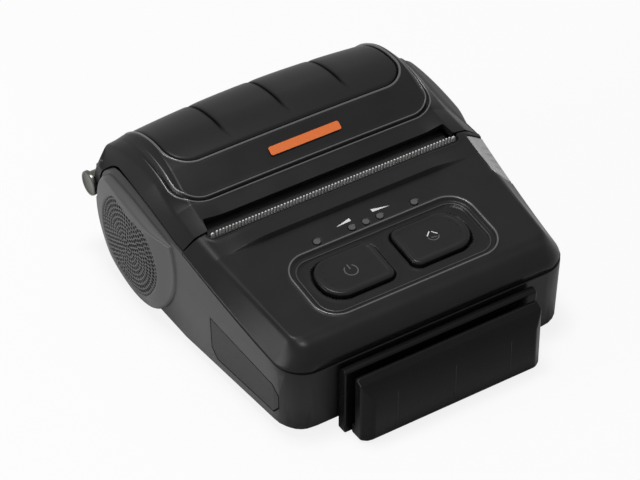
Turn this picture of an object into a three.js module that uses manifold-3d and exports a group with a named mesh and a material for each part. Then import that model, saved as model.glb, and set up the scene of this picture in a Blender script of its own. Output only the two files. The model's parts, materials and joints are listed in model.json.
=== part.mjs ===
// Portable receipt and label printer with a hinged paper lid, a control panel and a card reader.
// Lengths are in millimetres. +Z is up, +X is to the right and the front faces -Y.
// The origin lies on the table, under the middle of the printer's outer box.
import * as THREE from 'three';
import { mergeVertices } from 'three/addons/utils/BufferGeometryUtils.js';
import Module from 'manifold-3d';

const wasm = await Module();
wasm.setup();

// Driving sizes of the whole printer.
const PRINTER_LENGTH = 116;
const PRINTER_HEIGHT = 47.6;
const CASE_HALF_WIDTH = 49.4;
const FRONT_TAPER = 3;
const READER_DEPTH = 11;
const HOUSING_CLEARANCE = 0.6;
const ROLL_TO_TEAR_BAR = 30.2;
const WALL = 2;
const GAP = 0.3;
const OVERRUN = 20;
const QUARTER_TURN = 90;
const HALF_TURN = 2 * QUARTER_TURN;
const FULL_TURN = 2 * HALF_TURN;

// Case form.
const FLOOR_Z = 1.8;
const EDGE_ROUND = 2.5;
const SIDE_DRAFT = 0.6;
const FRONT_CORNER_RADIUS = 9;
const REAR_CORNER_RADIUS = 10;
const RIM_Z = 37;
const NOSE_LENGTH = 8.5;
const NOSE_SETBACK = 0.8;
const NOSE_TOP_Z = 31;
const SEAM_FRONT_Z = 21.4;
const SEAM_SLOT_Z = 33.4;
const SEAM_ARCH_Z = 36.4;
const SEAM_GAP = 0.6;
const SEAM_DIVE_LENGTH = 8.2;
const FACET_WIDTH = 4.6;
const CREASE_DROP = 0.5;
const CROWN = 1;
const NOSE_ARC_STEPS = 5;
const CORNER_STEPS = 6;
const SEAM_STEPS = 6;
const ROLL_ARC_STEPS = 8;
const SEAM_POWER_SHARE = 1.35;
const CREASE_FALL_SHARE = 0.45;
const EPSILON = 0.01;

// Control panel: a raised strip in front of the slot, a recess, two keys and five indicator lights.
const PLATEAU_LENGTH = 8.9;
const PLATEAU_STEP = 1.5;
const PLATEAU_SIDE_MARGIN = 10;
const PLATEAU_RISE = 0.4;
const KEY_PITCH = 27;
const KEY_LENGTH = 21;
const KEY_WIDTH = 14.4;
const KEY_OUTER_RADIUS = 6.5;
const KEY_INNER_RADIUS = 2.5;
const KEY_PROUD = 0.1;
const KEY_TRAVEL = 0.8;
const KEY_TO_TEAR_BAR = 29.5;
const RECESS_MARGIN = 5;
const RECESS_SIDE_MARGIN = 5.2;
const RECESS_RADIUS = 7;
const RECESS_DEPTH = 1.2;
const SKIN = 1.8;
const FLANGE_LIP = 0.9;
const FLANGE_THICKNESS = 1.1;
const KEY_MAT_THICKNESS = 1.2;
const BOARD_THICKNESS = 1.2;
const BOARD_MARGIN = 2;
const LIGHT_RADIUS = 1;
const LIGHT_PROUD = 0.15;
const LIGHT_TO_TEAR_BAR = 16.2;
const BATTERY_LIGHT_PITCH = 4.6;
const SIDE_LIGHT_PITCH = 16;
const POST_RADIUS = 1.6;

// Slot, tear bar, platen and print head.
const SLOT_WIDTH = 4.6;
const SLOT_SIDE_MARGIN = 7.9;
const TEAR_BAR_SIDE_MARGIN = 8.9;
const TEAR_BAR_THICKNESS = 1.1;
const TEAR_BAR_HEIGHT = 3.1;
const TOOTH_PITCH = 1.35;
const TOOTH_DEPTH = 0.9;
const PLATEN_RADIUS = 5.5;
const PLATEN_SIDE_MARGIN = 8.9;
const PLATEN_DROP = 8.5;
const PLATEN_SETBACK = 0.2;
const SHAFT_RADIUS = 2.2;
const BUSH_RADIUS = 3.8;
const BUSH_LENGTH = 1.2;
const HEAD_THICKNESS = 1;
const HEAD_DROP_BELOW_PLATEN = 4;
const HEAD_PLATE_THICKNESS = 2.5;
const HEAD_PLATE_OVERLAP = 2.5;
const SPRING_LENGTH = 5;
const SPRING_COIL_RADIUS = 2;
const SPRING_WIRE_RADIUS = 0.3;
const SPRING_TURNS = 4;
const SPRING_SPREAD = 18;

// Steel frame and gear train on the left.
const PLATE_THICKNESS = 1;
const PLATE_SIDE_MARGIN = 6;
const FRAME_FLOOR_Z = 12;
const FRAME_FRONT_REACH = 18;
const FRAME_REAR_REACH = 10;
const FRAME_FLOOR_REACH = 2.5;
const WEB_HEIGHT = 19;
const GEAR_MODULE = 0.5;
const PLATEN_TEETH = 22;
const IDLER_TEETH = 22;
const PINION_TEETH = 12;
const GEAR_THICKNESS = 1.2;
const GEAR_BACKLASH = 0.3;
const GEAR_BORE_RADIUS = 1.3;
const TIP_SHARE = 0.8;
const ROOT_SHARE = 1.2;
const TOOTH_ROOT_SHARE = 0.36;
const TOOTH_TIP_SHARE = 0.14;
const IDLER_ANGLE = 218;
const PINION_ANGLE = 205;
const MOTOR_RADIUS = 7;
const MOTOR_LENGTH = 14;

// Paper bay, sensor and hinge.
const BAY_WALL = 0.9;
const BAY_SIDE_MARGIN = 8.4;
const BAY_TOP_Z = 26.5;
const SENSOR_LENGTH = 6;
const SENSOR_HEIGHT = 3;
const SENSOR_DEPTH = 2.4;
const HINGE_Z = 24.3;
const BEAD_RADIUS = 3;
const EAR_RADIUS = 4.6;
const EAR_START_ANGLE = 190;
const EAR_GAP = 0.4;
const LUG_SIDE_MARGIN = 6.9;
const LUG_THICKNESS = 1.7;
const EAR_THICKNESS = 2;
const STUD_SHAFT_RADIUS = 1.6;
const STUD_NECK_RADIUS = 3.2;
const STUD_HEAD_RADIUS = 3.8;
const STUD_HEAD_THICKNESS = 0.7;
const STUD_NECK_LENGTH = 3.2;

// Lid.
const LID_SPLIT_SETBACK = 0.5;
const GROOVE_SETBACK = 10.2;
const GROOVE_RISE = 2.8;
const SHOULDER_ANGLE = 25;
const PAD_SIDE_MARGIN = 10.9;
const PAD_THICKNESS = 0.9;
const PAD_FRONT_ANGLE = 24;
const PAD_REAR_ANGLE = 66;
const NAME_PLATE_LENGTH = 29;
const NAME_PLATE_WIDTH = 5.8;
const NAME_PLATE_THICKNESS = 0.7;
const NAME_PLATE_DEPTH = 0.2;
const ARM_THICKNESS = 1.5;
const ARM_EYE_RADIUS = 4.2;
const BEAM_DEPTH = 3.5;
const BEAM_HEIGHT = 3;
const BEAM_SETBACK = 1;

// Side covers, port cover and release button.
const COVER_RADIUS = 21;
const COVER_DOME = 3.6;
const COVER_RIM = 1.6;
const COVER_WALL = 1.5;
const COVER_DROP = 1.3;
const COVER_TO_ROLL = 6;
const COVER_Z = 23.1;
const PORT_COVER_LENGTH = 30.5;
const PORT_COVER_FRONT_MARGIN = 7;
const PORT_COVER_TOP_REAR_Z = 19;
const PORT_COVER_TOP_FRONT_Z = 15;
const PORT_COVER_BOTTOM_Z = 6.8;
const PORT_COVER_THICKNESS = 1.2;
const PORT_COVER_CHAMFER = 2.4;
const PORT_WINDOW_MARGIN = 1.6;
const RELEASE_LENGTH = 17;
const RELEASE_HEIGHT = 11.5;
const RELEASE_SETBACK = 1.5;
const RELEASE_INSET = 0.8;
const RELEASE_CORNER = 3;
const RELEASE_DROP = 8;
const RELEASE_CAP = 2;
const RELEASE_STEM_HEIGHT = 3.5;
const LEVER_HEIGHT = 3;
const LEVER_THICKNESS = 1.2;
const LEVER_PIN_RADIUS = 0.6;
const LEVER_PIN_LENGTH = 1.2;
const LEVER_TAIL = 3.5;
const LEVER_EAR = 2.5;

// Card reader on the front.
const RAIL_HALF_WIDTH = 31.4;
const RAIL_THICKNESS = 3.4;
const RAIL_TOP_Z = 22.4;
const RAIL_BOTTOM_Z = 2.4;
const SWIPE_SLOT = 1.6;
const READER_HALF_WIDTH = 29.6;
const READER_TOP_Z = 21.6;
const READER_BEVEL_HEIGHT = 6;
const READER_BEVEL_DEPTH = 2.4;
const READER_END_BEVEL = 3;
const READER_EDGE = 1.2;
const RAIL_LEDGE = 3;
const MAGNETIC_HEAD_LENGTH = 9;
const MAGNETIC_HEAD_HEIGHT = 5;
const MAGNETIC_HEAD_DEPTH = 3;
const MAGNETIC_HEAD_PROUD = 1;
const MAGNETIC_HEAD_TRAVEL = 0.8;
const MAGNETIC_HEAD_Z = 11;

// Battery, boards, sockets, feet and screws.
const BATTERY_SIDE_MARGIN = 13.4;
const BATTERY_TO_TEAR_BAR = 19.1;
const BATTERY_BOTTOM_Z = 1.9;
const BATTERY_TOP_Z = 19;
const BATTERY_FRONT_MARGIN = 3.6;
const LATCH_WIDTH = 12;
const LATCH_LENGTH = 6;
const LATCH_THICKNESS = 1.2;
const LATCH_TRAVEL = 2;
const MAIN_BOARD_SIDE_MARGIN = 9.4;
const MAIN_BOARD_REAR_MARGIN = 2.2;
const IO_BOARD_SIDE_MARGIN = 11.9;
const BATTERY_BAY_WALL = 0.8;
const SOCKET_REACH = 4;
const SOCKET_WALL = 1;
const USB_LENGTH = 8;
const USB_HEIGHT = 4;
const SERIAL_LENGTH = 10.4;
const SERIAL_HEIGHT = 6.4;
const JACK_RADIUS = 3.2;
const JACK_HOLE_RADIUS = 1.8;
const SOCKET_Z = 11.4;
const SOCKET_SPACING = 0.7;
const SCREW_TO_PLATE = 21.4;
const FOOT_RADIUS = 3;
const FOOT_SOCKET_DEPTH = 0.6;
const FOOT_INSET = 9;
const SCREW_HEAD_RADIUS = 2.1;
const SCREW_SHANK_RADIUS = 1.1;
const SCREW_HEAD_HEIGHT = 1;
const SCREW_BOSS_RADIUS = 2.6;
const ROUND_STEPS = 24;
const SMALL_ROUND_STEPS = 16;

// Places that follow from the driving sizes.
const HALF_LENGTH = PRINTER_LENGTH / 2;
const FRONT_HALF_WIDTH = CASE_HALF_WIDTH - FRONT_TAPER;
const HOUSING_RADIUS = (PRINTER_HEIGHT - HOUSING_CLEARANCE) / 2;
const PLATEAU_HALF_WIDTH = CASE_HALF_WIDTH - PLATEAU_SIDE_MARGIN;
const SLOT_HALF_LENGTH = CASE_HALF_WIDTH - SLOT_SIDE_MARGIN;
const TEAR_BAR_LENGTH = 2 * (CASE_HALF_WIDTH - TEAR_BAR_SIDE_MARGIN);
const PLATEN_HALF_LENGTH = CASE_HALF_WIDTH - PLATEN_SIDE_MARGIN;
const PLATE_INNER_X = CASE_HALF_WIDTH - PLATE_SIDE_MARGIN;
const SCREW_SPREAD = PLATE_INNER_X - SCREW_TO_PLATE;
const BAY_RADIUS = HOUSING_RADIUS - WALL - BAY_WALL - GAP;
const BAY_HALF_WIDTH = CASE_HALF_WIDTH - BAY_SIDE_MARGIN;
const LUG_INNER_X = CASE_HALF_WIDTH - LUG_SIDE_MARGIN;
const PAD_HALF_WIDTH = CASE_HALF_WIDTH - PAD_SIDE_MARGIN;
const BATTERY_HALF_WIDTH = CASE_HALF_WIDTH - BATTERY_SIDE_MARGIN;
const MAIN_BOARD_HALF_WIDTH = CASE_HALF_WIDTH - MAIN_BOARD_SIDE_MARGIN;
const IO_BOARD_X = CASE_HALF_WIDTH - IO_BOARD_SIDE_MARGIN;
const READER_FRONT_Y = -HALF_LENGTH;
const CASE_FRONT_Y = READER_FRONT_Y + READER_DEPTH;
const HINGE_Y = HALF_LENGTH - STUD_HEAD_RADIUS;
const REAR_Y = HINGE_Y + BEAD_RADIUS;
const ROLL_Y = REAR_Y - HOUSING_RADIUS;
const ROLL_Z = PRINTER_HEIGHT - HOUSING_RADIUS;
const TEAR_Y = ROLL_Y - ROLL_TO_TEAR_BAR;
const NOSE_Y = CASE_FRONT_Y + NOSE_LENGTH;
const PLATEAU_Y = TEAR_Y - PLATEAU_LENGTH;
const PLATEAU_FRONT_Z = RIM_Z - PLATEAU_RISE - PLATEAU_STEP;
const LID_FRONT_Y = TEAR_Y + SLOT_WIDTH;
const LID_SPLIT_Y = TEAR_Y + LID_SPLIT_SETBACK;
const GROOVE_Y = TEAR_Y + GROOVE_SETBACK;
const GROOVE_Z = RIM_Z + GROOVE_RISE;
const DIVE_END_Y = HINGE_Y - EAR_RADIUS - EAR_GAP;
const DIVE_START_Y = DIVE_END_Y - SEAM_DIVE_LENGTH;
const PLATEN_Y = TEAR_Y + PLATEN_SETBACK + PLATEN_RADIUS;
const PLATEN_Z = RIM_Z - PLATEN_DROP;
const PLATE_OUTER_X = PLATE_INNER_X + PLATE_THICKNESS;
const GEAR_X = PLATE_OUTER_X + GAP;
const KEY_Y = TEAR_Y - KEY_TO_TEAR_BAR;
const LIGHT_Y = TEAR_Y - LIGHT_TO_TEAR_BAR;
const COVER_Y = ROLL_Y - COVER_TO_ROLL;
const INNER_FLOOR_Z = FLOOR_Z + WALL;
const BATTERY_FRONT_Y = CASE_FRONT_Y + BATTERY_FRONT_MARGIN;
const BATTERY_REAR_Y = TEAR_Y - BATTERY_TO_TEAR_BAR;
const BATTERY_LENGTH = BATTERY_REAR_Y - BATTERY_FRONT_Y;
const MAIN_BOARD_Z = BATTERY_TOP_Z + BATTERY_BAY_WALL + 2 * GAP;
const PANEL_SLOPE = (PLATEAU_FRONT_Z - NOSE_TOP_Z) / (PLATEAU_Y - NOSE_Y);
const PANEL_ANGLE = Math.atan(PANEL_SLOPE);
const RIGHT = 1;
const LEFT = -1;

const X_AXIS = new THREE.Vector3(1, 0, 0);
const Y_AXIS = new THREE.Vector3(0, 1, 0);
const Z_AXIS = new THREE.Vector3(0, 0, 1);

// A closed three.js geometry as a solid that can be joined and cut.
function toSolid(geometry) {
  const bare = geometry.index ? geometry.toNonIndexed() : geometry.clone();
  bare.deleteAttribute('normal');
  bare.deleteAttribute('uv');
  const welded = mergeVertices(bare);
  const corners = welded.index.array;
  const kept = [];
  for (let i = 0; i < corners.length; i += 3) {
    const [a, b, c] = corners.slice(i, i + 3);
    if (a !== b && b !== c && c !== a) kept.push(a, b, c);
  }
  return new wasm.Manifold(new wasm.Mesh({
    numProp: 3,
    vertProperties: new Float32Array(welded.attributes.position.array),
    triVerts: new Uint32Array(kept),
  }));
}

function toGeometry(solid) {
  const mesh = solid.getMesh();
  const geometry = new THREE.BufferGeometry();
  geometry.setAttribute('position', new THREE.BufferAttribute(mesh.vertProperties, 3));
  geometry.setIndex(new THREE.BufferAttribute(mesh.triVerts, 1));
  geometry.computeVertexNormals();
  return geometry;
}

const joined = (...solids) => solids.reduce((whole, piece) => whole.add(piece));
const cut = (solid, ...tools) => tools.reduce((rest, tool) => rest.subtract(tool), solid);

function flatPrism(outline, depth) {
  const shape = new THREE.Shape(outline.map(([u, v]) => new THREE.Vector2(u, v)));
  return new THREE.ExtrudeGeometry(shape, { depth, bevelEnabled: false });
}

// Prisms along the three axes: their outlines are (y, z), (x, z) and (x, y).
function alongX(outline, from, to) {
  const geometry = flatPrism(outline, to - from);
  geometry.applyMatrix4(new THREE.Matrix4().makeBasis(Y_AXIS, Z_AXIS, X_AXIS));
  return toSolid(geometry.translate(from, 0, 0));
}

function alongY(outline, from, to) {
  const geometry = flatPrism(outline, to - from);
  geometry.applyMatrix4(new THREE.Matrix4().makeBasis(X_AXIS, Z_AXIS, Y_AXIS.clone().negate()));
  return toSolid(geometry.translate(0, to, 0));
}

function alongZ(outline, from, to) {
  return toSolid(flatPrism(outline, to - from).translate(0, 0, from));
}

// A block between two corners, given as its lowest and highest value on each axis.
function block([x0, x1], [y0, y1], [z0, z1]) {
  const geometry = new THREE.BoxGeometry(x1 - x0, y1 - y0, z1 - z0);
  return toSolid(geometry.translate((x0 + x1) / 2, (y0 + y1) / 2, (z0 + z1) / 2));
}

function circle([u, v], radius, steps = ROUND_STEPS) {
  const points = [];
  for (let i = 0; i < steps; i++) {
    const angle = (2 * Math.PI * i) / steps;
    points.push([u + radius * Math.cos(angle), v + radius * Math.sin(angle)]);
  }
  return points;
}

// Points on an arc from one angle to another, in degrees, both ends included.
function arc([u, v], radius, from, to, steps) {
  const points = [];
  for (let i = 0; i <= steps; i++) {
    const angle = THREE.MathUtils.degToRad(from + ((to - from) * i) / steps);
    points.push([u + radius * Math.cos(angle), v + radius * Math.sin(angle)]);
  }
  return points;
}

function roundedRectangle(halfU, halfV, radiusRight, radiusLeft = radiusRight) {
  return [
    ...arc([halfU - radiusRight, halfV - radiusRight], radiusRight, QUARTER_TURN, 0, CORNER_STEPS),
    ...arc([halfU - radiusRight, radiusRight - halfV], radiusRight, 0, -QUARTER_TURN, CORNER_STEPS),
    ...arc([radiusLeft - halfU, radiusLeft - halfV], radiusLeft, -QUARTER_TURN, -HALF_TURN, CORNER_STEPS),
    ...arc([radiusLeft - halfU, halfV - radiusLeft], radiusLeft, HALF_TURN, QUARTER_TURN, CORNER_STEPS),
  ];
}

const rodX = (centre, radius, from, to, steps) => alongX(circle(centre, radius, steps), from, to);
const rodZ = (centre, radius, from, to, steps) => alongZ(circle(centre, radius, steps), from, to);

// A turned piece about the line through (y, z) along X: the profile is (radius, x).
function turnedX(profile, [y, z], steps = ROUND_STEPS) {
  const points = profile.map(([radius, x]) => new THREE.Vector2(radius, x));
  const geometry = new THREE.LatheGeometry(points, steps);
  geometry.applyMatrix4(new THREE.Matrix4().makeBasis(Y_AXIS, X_AXIS, Z_AXIS.clone().negate()));
  return outward(toSolid(geometry.translate(0, y, z)));
}

function outward(solid) {
  if (solid.volume() > 0) return solid;
  const mesh = solid.getMesh();
  const turned = mesh.triVerts.slice();
  for (let i = 0; i < turned.length; i += 3) [turned[i], turned[i + 1]] = [turned[i + 1], turned[i]];
  return new wasm.Manifold(new wasm.Mesh({
    numProp: mesh.numProp,
    vertProperties: mesh.vertProperties,
    triVerts: turned,
  }));
}

// A skin over rings of equal length, closed by flat ends. The plane of each end is named by two axes.
function loft(rings, [uAxis, vAxis]) {
  const count = rings[0].length;
  const positions = rings.flat(2);
  const faces = [];
  for (let i = 0; i + 1 < rings.length; i++) {
    for (let j = 0; j < count; j++) {
      const next = (j + 1) % count;
      const [a, b] = [i * count + j, i * count + next];
      faces.push(a, b, b + count, a, b + count, a + count);
    }
  }
  const flat = (point) => new THREE.Vector2(point[uAxis], point[vAxis]);
  const capFaces = (ring, start, reversed) => {
    const contour = ring.map(flat);
    const clockwise = THREE.ShapeUtils.isClockWise(contour);
    for (const [a, b, c] of THREE.ShapeUtils.triangulateShape(contour, [])) {
      const turn = new THREE.Vector2().subVectors(contour[b], contour[a])
        .cross(new THREE.Vector2().subVectors(contour[c], contour[a]));
      const flipped = (turn < 0) !== clockwise;
      const triangle = flipped !== reversed ? [a, c, b] : [a, b, c];
      faces.push(...triangle.map((corner) => start + corner));
    }
  };
  capFaces(rings[0], 0, true);
  capFaces(rings.at(-1), (rings.length - 1) * count, false);
  const geometry = new THREE.BufferGeometry();
  geometry.setAttribute('position', new THREE.Float32BufferAttribute(positions, 3));
  geometry.setIndex(faces);
  return outward(toSolid(geometry));
}

// Half width of the case along its seam, which narrows from the slot to the front.
function seamHalfWidth(y) {
  if (y >= TEAR_Y) return CASE_HALF_WIDTH;
  const taperLength = TEAR_Y - CASE_FRONT_Y - FRONT_CORNER_RADIUS;
  const share = Math.min(1, (TEAR_Y - y) / taperLength);
  return CASE_HALF_WIDTH + (FRONT_HALF_WIDTH - CASE_HALF_WIDTH) * share;
}

// Height of the seam between the lower case and what covers it.
function seamHeight(y) {
  if (y <= TEAR_Y) {
    const share = Math.max(0, (y - CASE_FRONT_Y) / (TEAR_Y - CASE_FRONT_Y));
    return SEAM_FRONT_Z + (SEAM_SLOT_Z - SEAM_FRONT_Z) * share ** SEAM_POWER_SHARE;
  }
  const share = Math.min(1, (y - TEAR_Y) / (DIVE_START_Y - TEAR_Y));
  return SEAM_SLOT_Z + (SEAM_ARCH_Z - SEAM_SLOT_Z) * THREE.MathUtils.smoothstep(share, 0, 1);
}

// Seam line in the side view, from y = from to the hinge ear, raised by offset.
function seamLine(from, offset) {
  const points = [];
  const stretches = from < TEAR_Y ? [[from, TEAR_Y], [TEAR_Y, DIVE_START_Y]] : [[from, DIVE_START_Y]];
  for (const [start, end] of stretches) {
    for (let i = 0; i < SEAM_STEPS; i++) {
      const y = start + ((end - start) * i) / SEAM_STEPS;
      points.push([y, seamHeight(y) + offset]);
    }
  }
  for (let i = 0; i <= SEAM_STEPS; i++) {
    const angle = THREE.MathUtils.degToRad((QUARTER_TURN * i) / SEAM_STEPS);
    points.push([
      DIVE_START_Y + (SEAM_DIVE_LENGTH + offset) * Math.sin(angle),
      HINGE_Z + (SEAM_ARCH_Z + offset - HINGE_Z) * Math.cos(angle),
    ]);
  }
  return points;
}

// Side-view region that belongs to the lower case.
function lowerRegion(offset) {
  const low = -OVERRUN;
  const back = HALF_LENGTH + OVERRUN;
  const earRadius = EAR_RADIUS + EAR_GAP;
  return [
    [-back, low],
    [-back, SEAM_FRONT_Z + offset],
    ...seamLine(CASE_FRONT_Y, offset),
    ...arc([HINGE_Y, HINGE_Z], earRadius, EAR_START_ANGLE, HALF_TURN + QUARTER_TURN, SEAM_STEPS),
    [back, HINGE_Z - earRadius],
    [back, low],
  ];
}

// Side-view region that belongs to the lid.
function lidRegion() {
  const high = PRINTER_HEIGHT + OVERRUN;
  const back = HALF_LENGTH + OVERRUN;
  const line = seamLine(LID_SPLIT_Y, SEAM_GAP).slice(0, -1);
  return [
    [LID_SPLIT_Y, high],
    ...line,
    ...arc([HINGE_Y, HINGE_Z], EAR_RADIUS, HALF_TURN, FULL_TURN, 2 * SEAM_STEPS),
    [back, HINGE_Z],
    [back, high],
  ];
}

// Plan of the case, drawn in by inset, with round corners.
function planOutline(inset) {
  const front = CASE_FRONT_Y + inset;
  const rear = REAR_Y - inset;
  const rearHalf = CASE_HALF_WIDTH - inset;
  const frontHalf = FRONT_HALF_WIDTH - inset;
  const rearRadius = REAR_CORNER_RADIUS - inset;
  const frontRadius = FRONT_CORNER_RADIUS - inset;
  const half = [
    ...arc([rearHalf - rearRadius, rear - rearRadius], rearRadius, QUARTER_TURN, 0, CORNER_STEPS),
    [rearHalf, TEAR_Y],
    ...arc([frontHalf - frontRadius, front + frontRadius], frontRadius, 0, -QUARTER_TURN, CORNER_STEPS),
  ];
  return [...half, ...half.map(([x, y]) => [-x, y]).reverse()];
}

// Side-view outline of the round paper housing at the rear, open towards the front.
function housingOutline(inset) {
  const radius = HOUSING_RADIUS - inset;
  const far = HALF_LENGTH + OVERRUN;
  const top = ROLL_Z + radius;
  return [
    [-far, -OVERRUN],
    [ROLL_Y, -OVERRUN],
    ...arc([ROLL_Y, ROLL_Z], radius, -QUARTER_TURN, QUARTER_TURN, 2 * ROLL_ARC_STEPS),
    [ROLL_Y, top + OVERRUN],
    [-far, top + OVERRUN],
  ];
}

// The whole case as a drafted block with round corners and a round rear.
function caseForm(inset) {
  const level = (z, drawnIn) => planOutline(inset + drawnIn).map(([x, y]) => [x, y, z]);
  const rings = [
    level(FLOOR_Z + inset, SIDE_DRAFT + EDGE_ROUND),
    level(FLOOR_Z + inset + EDGE_ROUND, SIDE_DRAFT),
    level(SEAM_FRONT_Z, 0),
    level(PRINTER_HEIGHT + OVERRUN, 0),
  ];
  const far = CASE_HALF_WIDTH + OVERRUN;
  return loft(rings, [0, 1]).intersect(alongX(housingOutline(inset), -far, far));
}

// Top line of the printer in its middle plane, drawn in by inset.
function topHeight(y, inset) {
  const noseHeight = NOSE_TOP_Z - SEAM_FRONT_Z - inset;
  const noseReach = NOSE_LENGTH - NOSE_SETBACK - inset;
  if (y <= NOSE_Y - noseReach) return SEAM_FRONT_Z;
  if (y <= NOSE_Y) {
    return SEAM_FRONT_Z + noseHeight * Math.sqrt(1 - ((NOSE_Y - y) / noseReach) ** 2);
  }
  const shoulder = THREE.MathUtils.degToRad(SHOULDER_ANGLE);
  const line = [
    [NOSE_Y, NOSE_TOP_Z],
    [PLATEAU_Y, PLATEAU_FRONT_Z],
    [TEAR_Y, RIM_Z],
    [LID_FRONT_Y, RIM_Z + CREASE_DROP],
    [GROOVE_Y, GROOVE_Z],
    [ROLL_Y - HOUSING_RADIUS * Math.sin(shoulder), ROLL_Z + HOUSING_RADIUS * Math.cos(shoulder)],
  ];
  for (let i = 0; i + 1 < line.length; i++) {
    const [[y0, z0], [y1, z1]] = [line[i], line[i + 1]];
    if (y < y1) return z0 + ((z1 - z0) * (y - y0)) / (y1 - y0) - inset;
  }
  const radius = HOUSING_RADIUS - inset;
  return ROLL_Z + Math.sqrt(Math.max(0, radius ** 2 - (y - ROLL_Y) ** 2));
}

// Places along Y where the upper form has a section.
function stationList(inset) {
  const noseReach = NOSE_LENGTH - NOSE_SETBACK - inset;
  const radius = HOUSING_RADIUS - inset;
  const stations = [CASE_FRONT_Y - OVERRUN];
  const nose = arc([0, 0], noseReach, HALF_TURN, QUARTER_TURN, NOSE_ARC_STEPS);
  for (const [dy] of nose) stations.push(NOSE_Y + dy);
  stations.push(PLATEAU_Y, TEAR_Y, LID_FRONT_Y, GROOVE_Y);
  const drum = arc([0, 0], radius, QUARTER_TURN + SHOULDER_ANGLE, EPSILON, ROLL_ARC_STEPS);
  for (const [dy] of drum) stations.push(ROLL_Y + dy);
  return stations;
}

// What covers the case above the seam: a crowned top, a crease and a sloping facet on each side.
function upperForm(inset) {
  const baseZ = FLOOR_Z;
  const rings = stationList(inset).map((y) => {
    const top = topHeight(y, inset);
    const rise = Math.max(0, top - RIM_Z);
    const crown = CROWN * Math.min(1, rise / (PRINTER_HEIGHT - RIM_Z));
    const crease = top - CREASE_DROP - crown - CREASE_FALL_SHARE * rise;
    const edge = seamHalfWidth(y) - inset;
    const seam = y <= TEAR_Y ? seamHeight(y) : SEAM_SLOT_Z;
    const half = [
      [edge, baseZ],
      [edge, Math.min(seam, crease - CREASE_DROP)],
      [edge - FACET_WIDTH, crease],
      [edge - 2 * FACET_WIDTH, top - crown],
      [edge / 2, top - crown / 4],
    ];
    const ring = [...half, [0, top], ...half.map(([x, z]) => [-x, z]).reverse()];
    return ring.map(([x, z]) => [x, y, z]);
  });
  return loft(rings, [0, 2]).intersect(alongZ(planOutline(inset), 0, PRINTER_HEIGHT + OVERRUN));
}

const lowerShape = caseForm(0);
const lowerCavity = caseForm(WALL);
const upperShape = upperForm(0);
const upperCavity = upperForm(WALL);
const far = CASE_HALF_WIDTH + OVERRUN;
const panelZ = (y) => NOSE_TOP_Z + PANEL_SLOPE * (y - NOSE_Y);

// A prism square to the control panel: the outline is (x, up the slope) about (0, y), between two heights.
function onPanel(outline, y, from, to) {
  const geometry = flatPrism(outline, to - from).translate(0, 0, from);
  geometry.rotateX(PANEL_ANGLE);
  return toSolid(geometry.translate(0, y, panelZ(y)));
}

const shifted = (outline, du, dv = 0) => outline.map(([u, v]) => [u + du, v + dv]);

const FINISH = {
  blackSatin: { color: 0x1b1b1d, roughness: 0.45, metalness: 0 },
  blackGloss: { color: 0x161617, roughness: 0.25, metalness: 0 },
  charcoal: { color: 0x4a4b4d, roughness: 0.55, metalness: 0 },
  keyBlack: { color: 0x202123, roughness: 0.5, metalness: 0 },
  silverPlastic: { color: 0xb9bbbc, roughness: 0.4, metalness: 0.2 },
  rubber: { color: 0x1d1d1d, roughness: 0.85, metalness: 0 },
  steel: { color: 0xb4b6b2, roughness: 0.3, metalness: 1 },
  aluminium: { color: 0xc3c5c6, roughness: 0.4, metalness: 1 },
  ceramic: { color: 0xe6e1d4, roughness: 0.35, metalness: 0 },
  board: { color: 0x1f5b38, roughness: 0.6, metalness: 0 },
  whiteNylon: { color: 0xe3e1da, roughness: 0.5, metalness: 0 },
  lens: { color: 0xa9abac, roughness: 0.2, metalness: 0 },
  batteryWrap: { color: 0x2b2d30, roughness: 0.6, metalness: 0 },
};

const printer = new THREE.Group();

function addPiece(name, solid, finish) {
  const mesh = new THREE.Mesh(toGeometry(solid), new THREE.MeshStandardMaterial(finish));
  mesh.name = name;
  printer.add(mesh);
}

// Lower case.
function portCoverOutline(margin) {
  const front = CASE_FRONT_Y + PORT_COVER_FRONT_MARGIN - margin;
  const rear = CASE_FRONT_Y + PORT_COVER_FRONT_MARGIN + PORT_COVER_LENGTH + margin;
  const bottom = PORT_COVER_BOTTOM_Z - margin;
  return [
    [rear, PORT_COVER_TOP_REAR_Z + margin],
    [front + PORT_COVER_CHAMFER, PORT_COVER_TOP_FRONT_Z + margin],
    [front, PORT_COVER_TOP_FRONT_Z + margin - PORT_COVER_CHAMFER],
    [front, bottom + PORT_COVER_CHAMFER],
    [front + PORT_COVER_CHAMFER, bottom],
    [rear - PORT_COVER_CHAMFER, bottom],
    [rear, bottom + PORT_COVER_CHAMFER],
  ];
}

const RELEASE_REAR_Y = TEAR_Y - RELEASE_SETBACK;
const RELEASE_FRONT_Y = RELEASE_REAR_Y - RELEASE_LENGTH;
const RELEASE_Y = (RELEASE_FRONT_Y + RELEASE_REAR_Y) / 2;
const RELEASE_Z = RIM_Z - RELEASE_DROP;
const RELEASE_BOTTOM_Z = RIM_Z - RELEASE_HEIGHT;
const leverX = PLATE_OUTER_X + GAP + LEVER_THICKNESS / 2;
const leverPivotY = TEAR_Y;
const leverBottomZ = RELEASE_Z - LEVER_HEIGHT;
const headRearY = PLATEN_Y - PLATEN_RADIUS - GAP;
const headFrontY = headRearY - HEAD_THICKNESS;
const headPlateFrontY = headFrontY - GAP - HEAD_PLATE_THICKNESS;
const webRearY = headPlateFrontY - 2 * GAP - SPRING_LENGTH;
const webFrontY = webRearY - PLATE_THICKNESS;
const screwPlaces = [RIGHT, LEFT].flatMap((side) => [
  [side * SCREW_SPREAD, webFrontY + SCREW_BOSS_RADIUS],
  [side * SCREW_SPREAD, TEAR_Y + FRAME_FLOOR_REACH - SCREW_BOSS_RADIUS],
]);
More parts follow.
